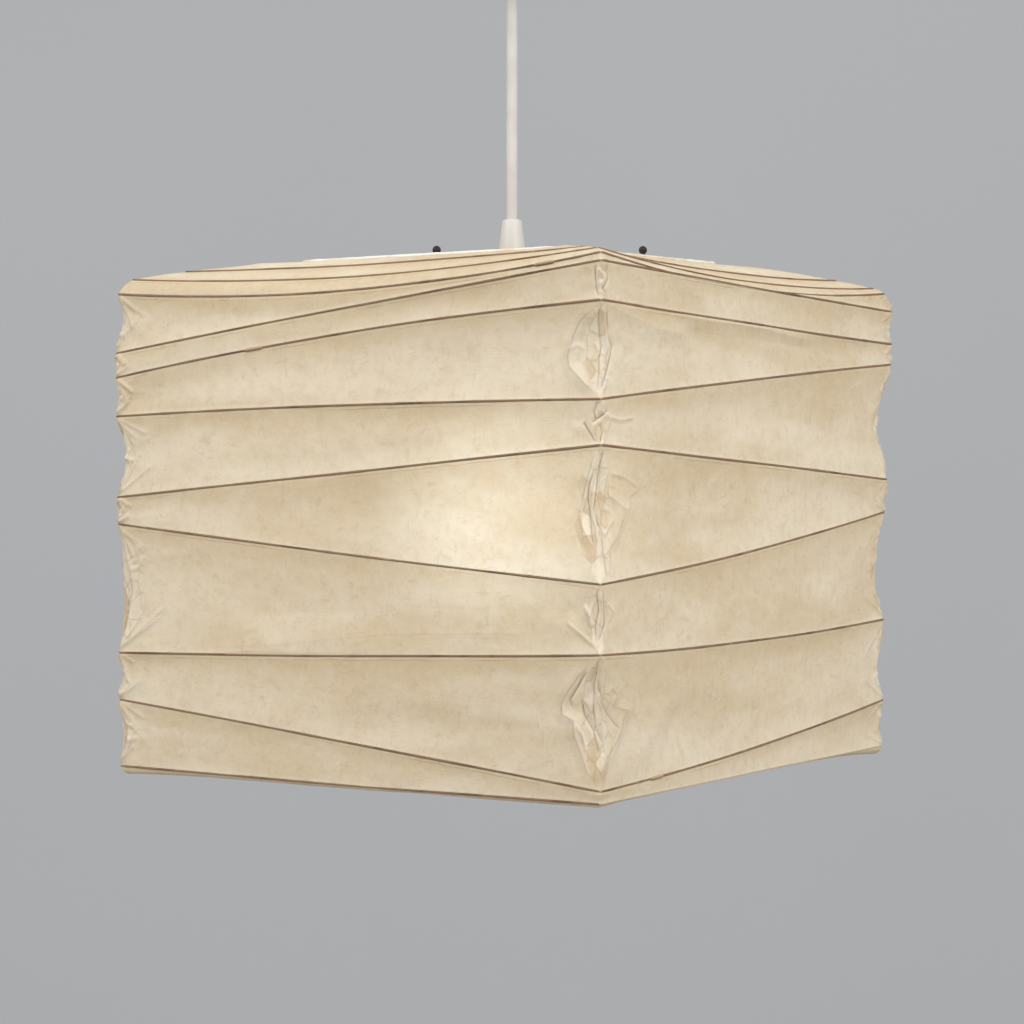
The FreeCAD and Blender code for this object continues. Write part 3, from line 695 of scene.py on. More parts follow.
print("drawn in at the edges", EDGE_DRAW[4])

# %% Lay one band
# How far from an upright edge, and the step between columns there; the near edge has the finest creases
NEAR_ZONES = ((0.024, 0.00045), (0.040, 0.0012))
OTHER_ZONES = ((0.012, 0.0008), (0.040, 0.0018))
SIDE_STEP = 0.0050
SIDE_ROW_STEP = 0.00072
FLAT_ROW_STEP = 0.0015
HALF_SIDE = 0.150
PAPER_THICK = 0.0003
TUCK = 0.0004           # the paper's edge runs this far inside the hoop's middle line
PASTE_LAP = 0.0025      # the cut is this much longer than the drop, for pasting round the hoop


def half_side(edge):
    """Where the columns stand between an upright edge and the middle of the side, in metres from the edge."""
    steps = [0.0]
    for zone_end, zone_step in (NEAR_ZONES if edge == NEAR else OTHER_ZONES) + ((HALF_SIDE, SIDE_STEP),):
        count = round((zone_end - steps[-1]) / zone_step)
        steps += np.linspace(steps[-1], zone_end, count + 1)[1:].tolist()
    return np.array(steps) / (2 * HALF_SIDE)


column_turns = [np.array([0.0])]
for edge in range(4):
    column_turns.append(edge + half_side(edge)[1:])
    column_turns.append(edge + 1 - half_side((edge + 1) % 4)[-2::-1])
column_turns = np.concatenate(column_turns)
column_count = len(column_turns) - 1


def turns_of(share):
    """Where each column of a strip stands, from 0 to 4."""
    return column_turns[np.round(share * column_count).astype(int)]


print("columns", column_count)

# %% Swell the rounded edges
# How far a flat band stands in at its middle, per metre between its two hoops
FLAT_DRAW = {
    "sheet_top_inner": -0.022, "sheet_top_middle": -0.022, "sheet_top_edge": -0.120,
    "sheet_base_inner": 0.012,
}
BASE_SWELLS = (0.0052, 0.0024, 0.0046, 0.004)       # below the left, near, right and far edge
BASE_SWELL_SIDES = (0.0023, 0.0008, 0.002, 0.002)   # below the middle of the front, right, back and left side
BASE_SWELL_REACH = 0.030
BASE_SWELL_AT = 0.0055                              # how far inside the last side hoop it hangs lowest


def flat_depth(name, turn, from_edge, gap, drop):
    """How far a band of the top or the underside stands in. The underside's outer band hangs as a roll."""
    share = drop / gap
    depth = FLAT_DRAW.get(name, 0.0) * gap * 4 * share * (1 - share)
    if name == "sheet_base_outer":
        edge = np.round(turn).astype(int) % 4
        middle = np.array(BASE_SWELL_SIDES)[np.minimum(turn.astype(int), 3)]
        swell = middle + (np.array(BASE_SWELLS)[edge] - middle) * np.exp(-from_edge / BASE_SWELL_REACH)
        roll = drop / BASE_SWELL_AT * np.exp(1 - drop / BASE_SWELL_AT)
        depth = depth - swell * roll * (1 - share)
    return depth


# Height of the crumples, how much higher they are close to an upright edge, and their size along and down
SIDE_CRUMPLES = (
    (0.00008, 0.00035, 0.0055, 0.0045), (0.0002, 0.0005, 0.014, 0.012), (0.0007, 0.0, 0.10, 0.018),
)
FLAT_CRUMPLES = ((0.0003, 0.0, 0.016, 0.011), (0.0005, 0.0, 0.045, 0.02))
CRUMPLE_FADE = 0.8
CLOSE_TO_EDGE = 0.022
BROKEN_LINE = (0.7, 0.3, 0.004)     # a crease line's mean strength, its change, and the change's size


def paper_band(name, upper, lower, seed):
    """A band between two hoops, and the length and height of the sheet that it is cut from."""
    inwards = lower["half"] - upper["half"]
    edge_spans = [math.hypot(inwards, a - b) for a, b in zip(upper["levels"], lower["levels"])]
    on_side = "side" in name
    rows = max(6, round(max(edge_spans) / (SIDE_ROW_STEP if on_side else FLAT_ROW_STEP)))
    piece, across, down = strip(name, column_count, rows)
    turn = turns_of(across)
    top, out = hoop_line(upper, turn)
    foot, _ = hoop_line(lower, turn)
    run = foot - top
    gap = np.linalg.norm(run, axis=1)
    run = run / gap[:, None]
    level_way = np.column_stack([-out[:, 1], out[:, 0], out[:, 2]])
    face = np.cross(run, level_way)
    face = face / np.linalg.norm(face, axis=1)[:, None]
    drop = down * gap
    half = (upper["half"] + lower["half"]) / 2
    along = turn * 2 * half
    length = 8 * half
    share = turn - np.floor(np.minimum(turn, 3.999999))
    from_edge = np.minimum(share, 1 - share) * 2 * half
    edges_held = np.sin(math.pi * down) ** CRUMPLE_FADE
    close = np.exp(-(from_edge / CLOSE_TO_EDGE) ** 2)
    dark, bright, lens, crumple = np.zeros((4, len(turn)))
    if on_side:
        depth, dark, bright, lens = gather(turn, half, down, gap, edge_spans, int(name[-1]), seed)
    else:
        depth = flat_depth(name, turn, from_edge, gap, drop)
    layers = SIDE_CRUMPLES if on_side else FLAT_CRUMPLES
    for number, (height, more, wide, tall) in enumerate(layers, 1):
        crumple = crumple + (height + more * close) * wrinkle(along, drop, wide, tall, seed + number, length)
    depth = depth + crumple * edges_held + TUCK
    lay(piece, top + run * drop[:, None] - face * depth[:, None])
    lay_map(piece, "sheet", along, drop)
    lay_map(piece, "foot", gap - drop, down)
    # The crease map carries the creases' painted shade and painted glints.
    strength, change, size = BROKEN_LINE
    broken = strength + change * wrinkle(along, drop, size, size, seed + 4, length)
    lay_map(piece, "crease", dark * broken, bright * broken)
    lay_map(piece, "lens", lens, close)
    pick(piece)
    edit_all()
    bpy.ops.mesh.remove_doubles(threshold=SAME_SPOT)
    bpy.ops.object.mode_set(mode="OBJECT")
    thick = piece.modifiers.new("paper_thickness", "SOLIDIFY")
    thick.thickness = PAPER_THICK
    thick.offset = 0
    bpy.ops.object.modifier_apply(modifier=thick.name)
    bpy.ops.object.shade_smooth()
    even_turns = np.arange(0, 4, 0.01)
    drops = np.linalg.norm(hoop_line(lower, even_turns)[0] - hoop_line(upper, even_turns)[0], axis=1)
    return piece, (length, float(drops.mean()) + PASTE_LAP)


print("paper", PAPER_THICK, "m thick")

# %% [markdown]
# ## The paper's finish
# Seen close, the paper is a pale straw colour with long fibres in it, cloudy where the pulp was thicker.
# Each band is darker towards its upper hoop, where it laps over the next band: a painted shade, as that
# part of the band faces down, deepest just under the hoop. The gathers at the upright edges are painted as
# pale lit and brown shaded facets, and the creases carry painted shade with painted glints beside them.
# The light inside shows through. A thin sheet with a share of rough transmission does that without
# painting the glow on.

# %% Make the paper
FACET_SCALE = 170.0     # about six millimetres to a facet


def own_map(tree, name):
    """The two numbers of one of the piece's own maps."""
    return add_node(tree, "ShaderNodeSeparateXYZ", Vector=on_map(tree, name)).outputs


def make_paper():
    material, tree, shader = new_finish("shade_paper", roughness=0.9)
    place = on_object(tree)
    drop = own_map(tree, "sheet")[1]
    above, share, *_ = own_map(tree, "foot")
    dark, bright, *_ = own_map(tree, "crease")
    lens = own_map(tree, "lens")[0]
    cloud = mottle(tree, on_object(tree, (1, 1, 3.6)), 9.0, detail=5.0, distortion=0.4)
    flock = mottle(tree, on_object(tree, (1, 1, 1.7)), 44.0, detail=5.0, distortion=0.9)
    speck = mottle(tree, place, 190.0, detail=4.0)
    colour = mix(tree, step(tree, cloud, 0.34, 0.66), tone(234, 217, 187), tone(246, 234, 211))
    wavy = reckon(tree, "MULTIPLY", mottle(tree, on_object(tree, (1, 1, 2.5)), 16.0, detail=4.0), 0.26)
    # Painted shade: each band is darker towards its upper hoop, where it faces down.
    upper = step(tree, reckon(tree, "ADD", share, wavy), 0.16, 0.80, 0.36, 0.0)
    colour = mix(tree, upper, colour, tone(226, 205, 169))
    colour = mix(tree, step(tree, flock, 0.46, 0.70, 0.0, 0.20), colour, tone(250, 244, 229))
    colour = mix(tree, step(tree, flock, 0.28, 0.44, 0.16, 0.0), colour, tone(218, 199, 162))
    return material, tree, shader, colour, place, (drop, above, dark, bright, speck, lens)


def add_crumple(tree, colour, lens):
    """In the gathers the paper is crumpled into small facets, painted pale and brown as lit and shaded ones,
    with painted shade in the fine folds between.
    """
    tall = on_object(tree, (1, 1, 0.5))
    cells, folds = [
        add_node(tree, "ShaderNodeTexVoronoi", {"feature": feature}, Vector=tall, Scale=FACET_SCALE)
        for feature in ("F1", "DISTANCE_TO_EDGE")
    ]
    chance = add_node(tree, "ShaderNodeSeparateXYZ", Vector=cells.outputs["Color"]).outputs[0]
    # Painted light and shade: chance facets pale as if lit, others brown as if shaded, and dark fold lines.
    painted_lit_facets = reckon(tree, "MULTIPLY", lens, step(tree, chance, 0.35, 0.85, 0.08, 0.44))
    colour = mix(tree, painted_lit_facets, colour, tone(251, 243, 227))
    painted_shaded_facets = reckon(tree, "MULTIPLY", lens, step(tree, chance, 0.08, 0.34, 0.42, 0.0))
    colour = mix(tree, painted_shaded_facets, colour, tone(212, 184, 138))
    painted_fold_shade = reckon(tree, "MULTIPLY", lens, step(tree, folds.outputs[0], 0.0, 0.07, 0.30, 0.0))
    colour = mix(tree, painted_fold_shade, colour, tone(176, 140, 92))
    return colour, reckon(tree, "MULTIPLY", lens, cells.outputs["Distance"])


def add_paste_lines(tree, colour, place, drop, above):
    """Under a hoop the pale lap of the band above, its thin brown edge and a painted shade below them; over a
    hoop a pale line.
    """
    ragged = reckon(tree, "MULTIPLY", mottle(tree, place, 120.0, detail=3.0), 0.0014)
    under = reckon(tree, "SUBTRACT", drop, ragged)
    patchy = step(tree, mottle(tree, place, 24.0), 0.44, 0.64, 0.0, 1.0)
    lap = step(tree, under, 0.0006, 0.0016, 0.55, 0.0)
    colour = mix(tree, lap, colour, tone(246, 234, 206))
    rise = step(tree, under, 0.0009, 0.0013)
    edge = reckon(tree, "MULTIPLY", rise, step(tree, under, 0.0013, 0.0018, 0.55, 0.0))
    colour = mix(tree, reckon(tree, "MULTIPLY", edge, patchy), colour, tone(186, 152, 98))
    # Painted shade, fading out over about a centimetre under each hoop.
    stain_and_shade = step(tree, under, 0.002, 0.012, 0.14, 0.0)
    colour = mix(tree, stain_and_shade, colour, tone(206, 180, 130))
    return mix(tree, step(tree, above, 0.0009, 0.0026, 0.5, 0.0), colour, tone(248, 240, 219))


def add_fibres(tree, colour, place):
    """Long fibres, pale and dark, as thin bent lines that come and go."""
    kinds = (((1, 1, 3.6), 46.0, 0.14), ((3.2, 3.2, 1), 40.0, -0.17), ((1.6, 0.9, 2.4), 66.0, -0.18),
             ((0.9, 1.6, 2.2), 78.0, 0.14), ((1.2, 1.2, 4), 38.0, -0.18))
    for stretch, scale, strength in kinds:
        thread = mottle(tree, on_object(tree, stretch), scale, detail=1.0, distortion=0.35)
        ladder = reckon(tree, "FRACT", reckon(tree, "MULTIPLY", thread, 6.0))
        line = reckon(tree, "ABSOLUTE", reckon(tree, "SUBTRACT", ladder, 0.5))
        patchy = step(tree, mottle(tree, place, 60.0 + scale), 0.48, 0.62, 0.0, abs(strength))
        amount = reckon(tree, "MULTIPLY", step(tree, line, 0.02, 0.12, 1.0, 0.0), patchy)
        colour = mix(tree, amount, colour, tone(254, 249, 236) if strength > 0 else tone(196, 170, 124))
    return colour


def finish_paper():
    material, tree, shader, colour, place, (drop, above, dark, bright, speck, lens) = make_paper()
    colour, facets = add_crumple(tree, colour, lens)
    colour = add_paste_lines(tree, colour, place, drop, above)
    colour = add_fibres(tree, colour, place)
    colour = mix(tree, step(tree, speck, 0.40, 0.75, 0.0, 0.14), colour, tone(196, 177, 138))
    # Painted shade along the creases, then painted glints beside them.
    colour = mix(tree, dark, colour, tone(152, 102, 50))
    colour = mix(tree, bright, colour, tone(252, 247, 234))
    put(tree, shader, "Base Color", colour)
    put(tree, shader, "Transmission Weight", 0.26)
    put(tree, shader, "IOR", 1.15)
    put(tree, shader, "Specular IOR Level", 0.1)
    fine = mottle(tree, place, 420.0, detail=4.0)
    grain = reckon(tree, "ADD", reckon(tree, "MULTIPLY", speck, 0.7), reckon(tree, "MULTIPLY", fine, 0.3))
    grain = reckon(tree, "ADD", grain, reckon(tree, "MULTIPLY", facets, 2.0))
    relief(tree, shader, grain, 0.4, 0.0006)
    return material


finishes["shade_paper"] = finish_paper()
print("paper finish with", len(finishes["shade_paper"].node_tree.nodes), "nodes")

# %% [markdown]
# ## Lay the bands on their hoops
# The real lantern folds flat: its foot is lifted and every hoop comes up in proportion. Each band rides
# on the body of its upper hoop.

# %% Paper pieces
BAND_SEEDS = (40, 7)        # the first, and the step to the next


def body_of_hoop(name):
    if "top" in name:
        return "pendant"
    return "shade_" + name[4:] if name[4:] in "12345678" else "shade_foot"


def fold_with(piece, hoop):
    """The piece rides on its hoop's body, with a mesh of its own."""
    body = body_of_hoop(hoop["name"])
    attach(piece, body)
    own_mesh(piece)


BANDS = ["paper_top_inner", "paper_top_middle", "paper_top_edge"]
BANDS += [f"paper_side_{k}" for k in range(1, 9)]
BANDS += ["paper_base_outer", "paper_base_inner"]
for at, node in enumerate(BANDS):
    holder = hoops[0] if node.startswith("paper_top") else hoops[at]
    band, cut = paper_band(node.replace("paper", "sheet"), hoops[at], hoops[at + 1],
                           BAND_SEEDS[0] + BAND_SEEDS[1] * at)
    band.data.materials.append(finishes["shade_paper"])
    fold_with(band, holder)
    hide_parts(node)
    print(band.name, "cut", [round(v, 3) for v in cut], "triangles", 2 * len(band.data.polygons))

# %% [markdown]
# ## Bamboo
# The hoops are split from a cane and bent round the box. They are thicker at the cane's joints, a little
# flat, stained by the paste, and each ends in a lap where its two tips lie over each other, under a scrap of
# pasted paper. At the upright edges the paper is pasted over them too, so there they are thin and pale.

# %% Make the bamboo
def make_bamboo():
    material, tree, shader = new_finish("bamboo", roughness=0.62)
    place = on_object(tree)
    streaks = mottle(tree, on_map(tree, "cane", (60, 900, 1)), 1.0, detail=3.0)
    patches = mottle(tree, place, 38.0, detail=3.0)
    colour = mix(tree, step(tree, streaks, 0.3, 0.7), tone(128, 96, 68), tone(160, 128, 97))
    colour = mix(tree, step(tree, patches, 0.52, 0.66, 0.0, 0.8), colour, tone(110, 80, 56))
    worn = mottle(tree, on_object(tree, (1, 1, 1.4)), 55.0)
    colour = mix(tree, step(tree, worn, 0.60, 0.72, 0.0, 0.55), colour, tone(180, 152, 122))
    covered = own_map(tree, "covered")[0]
    colour = mix(tree, step(tree, covered, 0.0, 1.0, 0.0, 0.85), colour, tone(212, 188, 148))
    put(tree, shader, "Base Color", colour)
    put(tree, shader, "Roughness", step(tree, patches, 0.3, 0.7, 0.5, 0.75))
    relief(tree, shader, streaks, 0.4, 0.0003)
    return material


finishes["bamboo"] = make_bamboo()

CANE_RADIUS = 0.00060
CANE_SUNK = 0.00025
CANE_SIDES = 8
CANE_JOINT_PITCH = 0.118
LAP_LENGTH = 0.0115
LAP_HEIGHT = 1.6       # as a share of its thickness
# Where round the box a lap can be seen; the others are at the back
LAPS = {"rib_1": 0.895, "rib_3": 0.312, "rib_8": 1.17}
LAP_COLUMNS = 24
CANE_FLAT = 0.85
CANE_THICK = (0.94, 0.12, 0.20)     # mean share of the radius, its unevenness, and the swelling at a joint
CANE_ROUGH_SIZE = 0.018
CANE_JOINT_LENGTH = 0.0022
CANE_SEEDS = (300, 11)              # the first, and the step to the next
COVERED_THINNER = 0.35
COVERED_AT_EDGE = 0.0008
COVERED_SIDES = {"rib_9": (1,)}     # sides of a hoop that the paper is rolled over


def cane_lap(name, hoop, dice):
    """The short lap where a hoop's two tips lie over each other."""
    lap, across, down = strip(name, LAP_COLUMNS, CANE_SIDES)
    middle = LAPS.get(hoop["name"], dice.integers(2, 4) + dice.uniform(0.2, 0.8))
    turn = middle + (across - 0.5) * LAP_LENGTH / (2 * hoop["half"])
    line, out = hoop_line(hoop, turn)
    taper = np.sqrt(np.clip(1 - (2 * across - 1) ** 8, 0.02, 1)) * CANE_RADIUS
    lay_tube(lap, line, out, down, taper, tall=LAP_HEIGHT)
    lay_map(lap, "cane", turn * 2 * hoop["half"], down)
    lay_map(lap, "covered", 0.5 - 0.4 * np.sin(2 * math.pi * down), down)
    edit_all()
    bpy.ops.mesh.remove_doubles(threshold=SAME_SPOT)
    bpy.ops.mesh.select_all(action="DESELECT")
    bpy.ops.mesh.select_non_manifold()
    bpy.ops.mesh.fill()
    bpy.ops.object.mode_set(mode="OBJECT")
    close_up(lap)
    return lap


def cane(name, hoop, seed):
    """A hoop of split bamboo with its joints, and the short lap that closes it."""
    dice = np.random.default_rng(seed)
    piece, across, down = strip(name, column_count, CANE_SIDES)
    turn = turns_of(across)
    line, out = hoop_line(hoop, turn)
    along = turn * 2 * hoop["half"]
    length = 8 * hoop["half"]
    from_edge = np.abs(turn - np.round(turn)) * 2 * hoop["half"]
    covered = 0.5 * np.clip(1.6 - from_edge / COVERED_AT_EDGE, 0, 1)
    for side in COVERED_SIDES.get(hoop["name"], ()):
        covered = np.where((turn > side) & (turn < side + 1), 1.0, covered)
    rough = wrinkle(along, np.zeros_like(along), CANE_ROUGH_SIZE, 1.0, seed + 1, length)
    swelling = np.abs((along + dice.uniform(0, CANE_JOINT_PITCH)) % CANE_JOINT_PITCH - CANE_JOINT_PITCH / 2)
    mean, uneven, joint = CANE_THICK
    thick = CANE_RADIUS * (mean + uneven * rough + joint * np.exp(-(swelling / CANE_JOINT_LENGTH) ** 2))
    thick = thick * (1 - COVERED_THINNER * covered)
    lay_tube(piece, line - out * CANE_SUNK, out, down, thick, wide=CANE_FLAT)
    lay_map(piece, "cane", along, down)
    lay_map(piece, "covered", covered, down)
    close_up(piece, SAME_SPOT)
    return join_to(piece, cane_lap(name + "_lap", hoop, dice), 60.0)


for at, hoop in enumerate(hoops[1:-1]):
    rib = cane(hoop["name"].replace("rib", "cane"), hoop, CANE_SEEDS[0] + CANE_SEEDS[1] * at)
    rib.data.materials.clear()
    rib.data.materials.append(finishes["bamboo"])
    fold_with(rib, hoop)
    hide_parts(hoop["name"])
print("bamboo hoops", len(hoops) - 2)

# %% [markdown]
# ## Finishes for the fittings
# The small fittings are moulded white plastic, enamelled wire, zinc, brass, glazed ceramic and glass.
# None of them is one flat colour: plastic has a faint cloud and a fine skin, enamel has pits, plating has
# streaks, and brass has tarnish. Each finish is made once and given to every piece of its kind.

# %% Make the fittings' finishes
def clouded(name, light, dark, roughness, metallic=0.0, scale=40.0, spread=0.12, skin=0.15, skin_scale=900.0):
    """A finish that drifts between two tones, with a fine skin."""
    material, tree, shader = new_finish(name, roughness, metallic)
    place = on_object(tree)
    cloud = mottle(tree, place, scale, detail=4.0)
    fine = mottle(tree, place, skin_scale, detail=2.0)
    put(tree, shader, "Base Color", mix(tree, step(tree, cloud, 0.3, 0.7), dark, light))
    put(tree, shader, "Roughness", step(tree, cloud, 0.25, 0.75, roughness - spread, roughness + spread))
    relief(tree, shader, fine, skin, 0.0002)
    finishes[name] = material


clouded("white_plastic", tone(219, 216, 211), tone(211, 207, 201), 0.36, scale=30.0)
clouded("white_cord", tone(215, 212, 208), tone(207, 203, 198), 0.45, scale=60.0)
clouded("rim_steel", tone(196, 197, 198), tone(140, 141, 143), 0.32, 1.0, scale=90.0)
clouded("carrier_steel", tone(38, 38, 39), tone(20, 20, 21), 0.34, scale=120.0, skin=0.3)
clouded("tip_plastic", tone(12, 12, 13), tone(7, 7, 8), 0.5, scale=200.0, spread=0.05, skin=0.02)
clouded("core_insulation", tone(124, 86, 58), tone(96, 64, 42), 0.5, scale=120.0)
clouded("ceramic", tone(240, 238, 230), tone(224, 220, 208), 0.18, scale=50.0, spread=0.06, skin=0.08)
clouded("brass", tone(212, 178, 104), tone(150, 116, 58), 0.34, 1.0, scale=110.0, skin=0.2)
clouded("plated_steel", tone(206, 207, 206), tone(160, 162, 164), 0.3, 1.0, scale=70.0, skin=0.2)
clouded("bulb_shell", tone(214, 214, 212), tone(172, 172, 171), 0.28, 1.0, scale=140.0, skin=0.15)
clouded("black_glass", tone(34, 34, 40), tone(16, 16, 20), 0.1, scale=150.0, spread=0.04, skin=0.03)
cord.data.materials.append(finishes["white_cord"])
print("finishes", sorted(finishes))

# %% [markdown]
# ## The bound rims
# A square of wire holds the shade open at the top, where the carrier's arms push it outwards, and another
# lies in the underside. Both are bound with a narrow strip of white paper, wound round and round, so that
# every turn laps over the one before. A bevelled curve would be too smooth for that. So a strip is laid
# round the wire, and its radius steps down where one turn's edge ends and the next begins.

# %% Wind the rims
WRAP_RADIUS = 0.0011
WRAP_SIDES = 10
WRAP_PITCH = 0.011
WRAP_STEP = 0.00018
WRAP_ROUGH = (0.00012, 0.006, 0.3)      # height, size along the rim, and share of the way round the wire
slot_of = {row["node"]: row["material_slot"] for row in frame["record"]["subparts"]}


def dress(piece, node, body):
    """Gives a piece its finish and its body, and lets it stand for its solid."""
    piece.data.materials.clear()
    piece.data.materials.append(finishes[slot_of[node]])
    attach(piece, body)
    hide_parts(node)
    print(piece.name, "rides on", body, "with", len(piece.data.polygons), "faces")


def bound_rim(name, hoop, seed):
    piece, across, down = strip(name, column_count, WRAP_SIDES)
    turn = turns_of(across)
    line, out = hoop_line(hoop, turn)
    along = turn * 2 * hoop["half"]
    turns = round(8 * hoop["half"] / WRAP_PITCH)
    wound = (turn / 4 * turns + down) % 1
    height, wide, tall = WRAP_ROUGH
    rough = wrinkle(along, down, wide, tall, seed, 8 * hoop["half"])
    lay_tube(piece, line, out, down, WRAP_RADIUS + WRAP_STEP * (wound - 0.5) + height * rough)
    lay_map(piece, "wound", wound, along)
    close_up(piece, SAME_SPOT)
    bpy.ops.object.shade_smooth()
    return piece


def make_wrap():
    """White paper, stained here and there, darker along the edge of each turn."""
    material, tree, shader = new_finish("rim_binding", roughness=0.85)
    place = on_object(tree)
    stain_and_shade = mottle(tree, place, 55.0, detail=4.0)
    fine = mottle(tree, place, 900.0, detail=3.0)
    colour = mix(tree, step(tree, stain_and_shade, 0.42, 0.62), tone(240, 237, 230), tone(224, 211, 186))
    edge = step(tree, own_map(tree, "wound")[0], 0.86, 0.98, 0.0, 0.55)
    colour = mix(tree, edge, colour, tone(176, 150, 112))
    put(tree, shader, "Base Color", colour)
    relief(tree, shader, fine, 0.5, 0.0002)
    return material


finishes["rim_binding"] = make_wrap()
dress(bound_rim("top_rim_wrap", hoops[0], 610), "top_rim_binding", "pendant")
dress(bound_rim("bottom_rim_wrap", hoops[-1], 620), "bottom_rim_binding", "shade_foot")

# %% [markdown]
# ## The cord grip and the ceiling cup
# Both are moulded in white plastic. The grip is a slim cone with a soft shoulder and a short plain foot
# that sits on the lampholder. The cup is a shallow drum with a round lower edge. A lathe would turn either
# one, so each is a ring extruded from station to station, with its sharp edges rounded by a bevel.

# %% Turn the cord grip
GRIP_BORE = 0.00315
GRIP_STUB = (0.005, 0.0065)             # radius and length of the stub below the seat
GRIP_FOOT = (0.0080, 0.006)             # radius and height of the plain foot
GRIP_SHOULDER = 0.0051
GRIP_BELLY = 0.00022                    # the cone's sides are a little full
GRIP_STATIONS = 7

grip_seat = grip_low[2] + GRIP_STUB[1]
cone_foot = grip_seat + GRIP_FOOT[1]
profile = [(GRIP_BORE, grip_low[2]), (GRIP_STUB[0], grip_low[2]), (GRIP_STUB[0], grip_seat),
           (GRIP_FOOT[0], grip_seat)]
for share in np.linspace(0, 1, GRIP_STATIONS).tolist():
    radius = GRIP_FOOT[0] + (GRIP_SHOULDER - GRIP_FOOT[0]) * share + GRIP_BELLY * math.sin(math.pi * share)
    profile.append((radius, cone_foot + (grip_high[2] - cone_foot) * share))
profile.append((GRIP_BORE, grip_high[2]))
grip = turned("cord_grip_moulding", profile)
soften(grip, 0.0008, segments=4, angle=28.0)
dress(grip, "cord_grip", "pendant")

# %% Turn the ceiling cup
CUP_WALL = 0.0016
CUP_EDGE = 0.009
CUP_HOLE = 0.0052
CUP_BEAD = 0.0005                       # a low bead round the mouth, against the ceiling
CUP_BEAD_LEVELS = (0.004, 0.0034)       # where it starts and is full, below the mouth
CUP_STATIONS = 8

cup_low, cup_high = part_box("canopy_cup")
cup_radius = cup_high[0]
foot, mouth = cup_low[2], cup_high[2]
inside = cup_radius - CUP_WALL


def cup_bend(radius, edge, level):
    """The stations of a round lower edge, from the floor up to the wall."""
    bends = np.linspace(0, math.pi / 2, CUP_STATIONS).tolist()
    return [(radius - edge * (1 - math.sin(t)), level + edge * (1 - math.cos(t))) for t in bends]


profile = [(CUP_HOLE, foot)] + cup_bend(cup_radius, CUP_EDGE, foot)
profile += [(cup_radius, mouth - CUP_BEAD_LEVELS[0]), (cup_radius + CUP_BEAD, mouth - CUP_BEAD_LEVELS[1]),
            (cup_radius + CUP_BEAD, mouth), (inside, mouth)]
profile += cup_bend(inside, CUP_EDGE - CUP_WALL, foot + CUP_WALL)[::-1]
profile.append((CUP_HOLE, foot + CUP_WALL))
cup = turned("canopy_cup_moulding", profile, sides=96)
soften(cup, 0.0003)
dress(cup, "canopy_cup", "ceiling")

# %% [markdown]
# ## The bits of cord at the ceiling
# Where the cord leaves the bush it flexes, and above that a short tail runs up inside the cup. They are the
# same round sheath as the cord, so a small ball and a short cylinder do.

# %% Make the bits of cord
begin()
bend_low, bend_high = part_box("cord_bend")
bpy.ops.mesh.primitive_uv_sphere_add(segments=32, ring_count=16, radius=CORD_DIAMETER / 2,
                                     location=(0, 0, (bend_low[2] + bend_high[2]) / 2))
bend = bpy.context.object
bend.name = "cord_bend_sheath"
bpy.ops.object.transform_apply(location=True, rotation=True, scale=True)
bpy.ops.object.shade_smooth()
dress(bend, "cord_bend", "cord_bend")
begin()
tail_low, tail_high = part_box("cord_tail")
bpy.ops.mesh.primitive_cylinder_add(vertices=32, radius=CORD_DIAMETER / 2, depth=tail_high[2] - tail_low[2],
                                    location=(0, 0, (tail_low[2] + tail_high[2]) / 2))
tail = bpy.context.object
tail.name = "cord_tail_sheath"
bpy.ops.object.transform_apply(location=True, rotation=True, scale=True)
soften(tail, 0.0003)
dress(tail, "cord_tail", "ceiling")

# %% [markdown]
# ## The lampholder
# Its cap is a smooth dome with a low moulded ring at the foot. Below it the skirt carries a coarse thread,
# on which the clamp ring runs up under the carrier. A thread is a ridge wound round a drum: a strip whose
# points climb one pitch for each turn makes a real one, which stacked rings wouldn't be.

# %% Turn the cap
CAP_WALL = 0.002
CAP_NECK = 0.010
CAP_SIDE = 0.014                        # height of the straight part below the dome
CAP_RING = 0.0006
CAP_RING_LEVELS = (0.0035, 0.0030, 0.0008)      # above the cap's foot: where it starts, is full and ends
CAP_STATIONS = 10
FIT = 0.00015                           # room between a bore and what stands in it

cap_low, cap_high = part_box("holder_cap")
cap_radius = cap_high[0]
cap_foot, cap_top = cap_low[2], cap_high[2]
dome_foot = cap_foot + CAP_SIDE
neck_bore = GRIP_STUB[0] + FIT
inner_top = cap_top - CAP_WALL * 2


def dome(radius, top):
    """The stations of a dome, from the neck down to the straight side."""
    bends = np.linspace(math.pi / 2, 0, CAP_STATIONS).tolist()
    return [(CAP_NECK + (radius - CAP_NECK) * math.cos(t), dome_foot + (top - dome_foot) * math.sin(t))
            for t in bends]


ring_start, ring_full, ring_end = [cap_foot + level for level in CAP_RING_LEVELS]
profile = [(neck_bore, cap_top)] + dome(cap_radius, cap_top)
profile += [(cap_radius, ring_start), (cap_radius + CAP_RING, ring_full), (cap_radius + CAP_RING, ring_end),
            (cap_radius, cap_foot), (cap_radius - CAP_WALL, cap_foot)]
profile += dome(cap_radius - CAP_WALL, inner_top)[::-1]
profile.append((neck_bore, inner_top))
cap = turned("holder_cap_moulding", profile)
soften(cap, 0.0003)
dress(cap, "holder_cap", "pendant")

# %% Wind a thread
THREAD_ROWS = 6
THREAD_SUNK = 0.0001                    # the ridge starts this far inside its drum


def thread(name, drum, crest, foot, pitch, turns, sides=48):
    """A round ridge wound up a drum: one pitch higher for each turn, closed to the next turn's foot."""
    root = drum - THREAD_SUNK
    piece, across, down = strip(name, sides * turns, THREAD_ROWS)
    angle = 2 * math.pi * turns * across
    radius = root + (crest - root) * np.sin(math.pi * down) ** 2
    level = foot + pitch * (turns * across + down)
    lay(piece, np.column_stack([radius * np.cos(angle), radius * np.sin(angle), level]))
    close_up(piece, SAME_SPOT)
    return piece


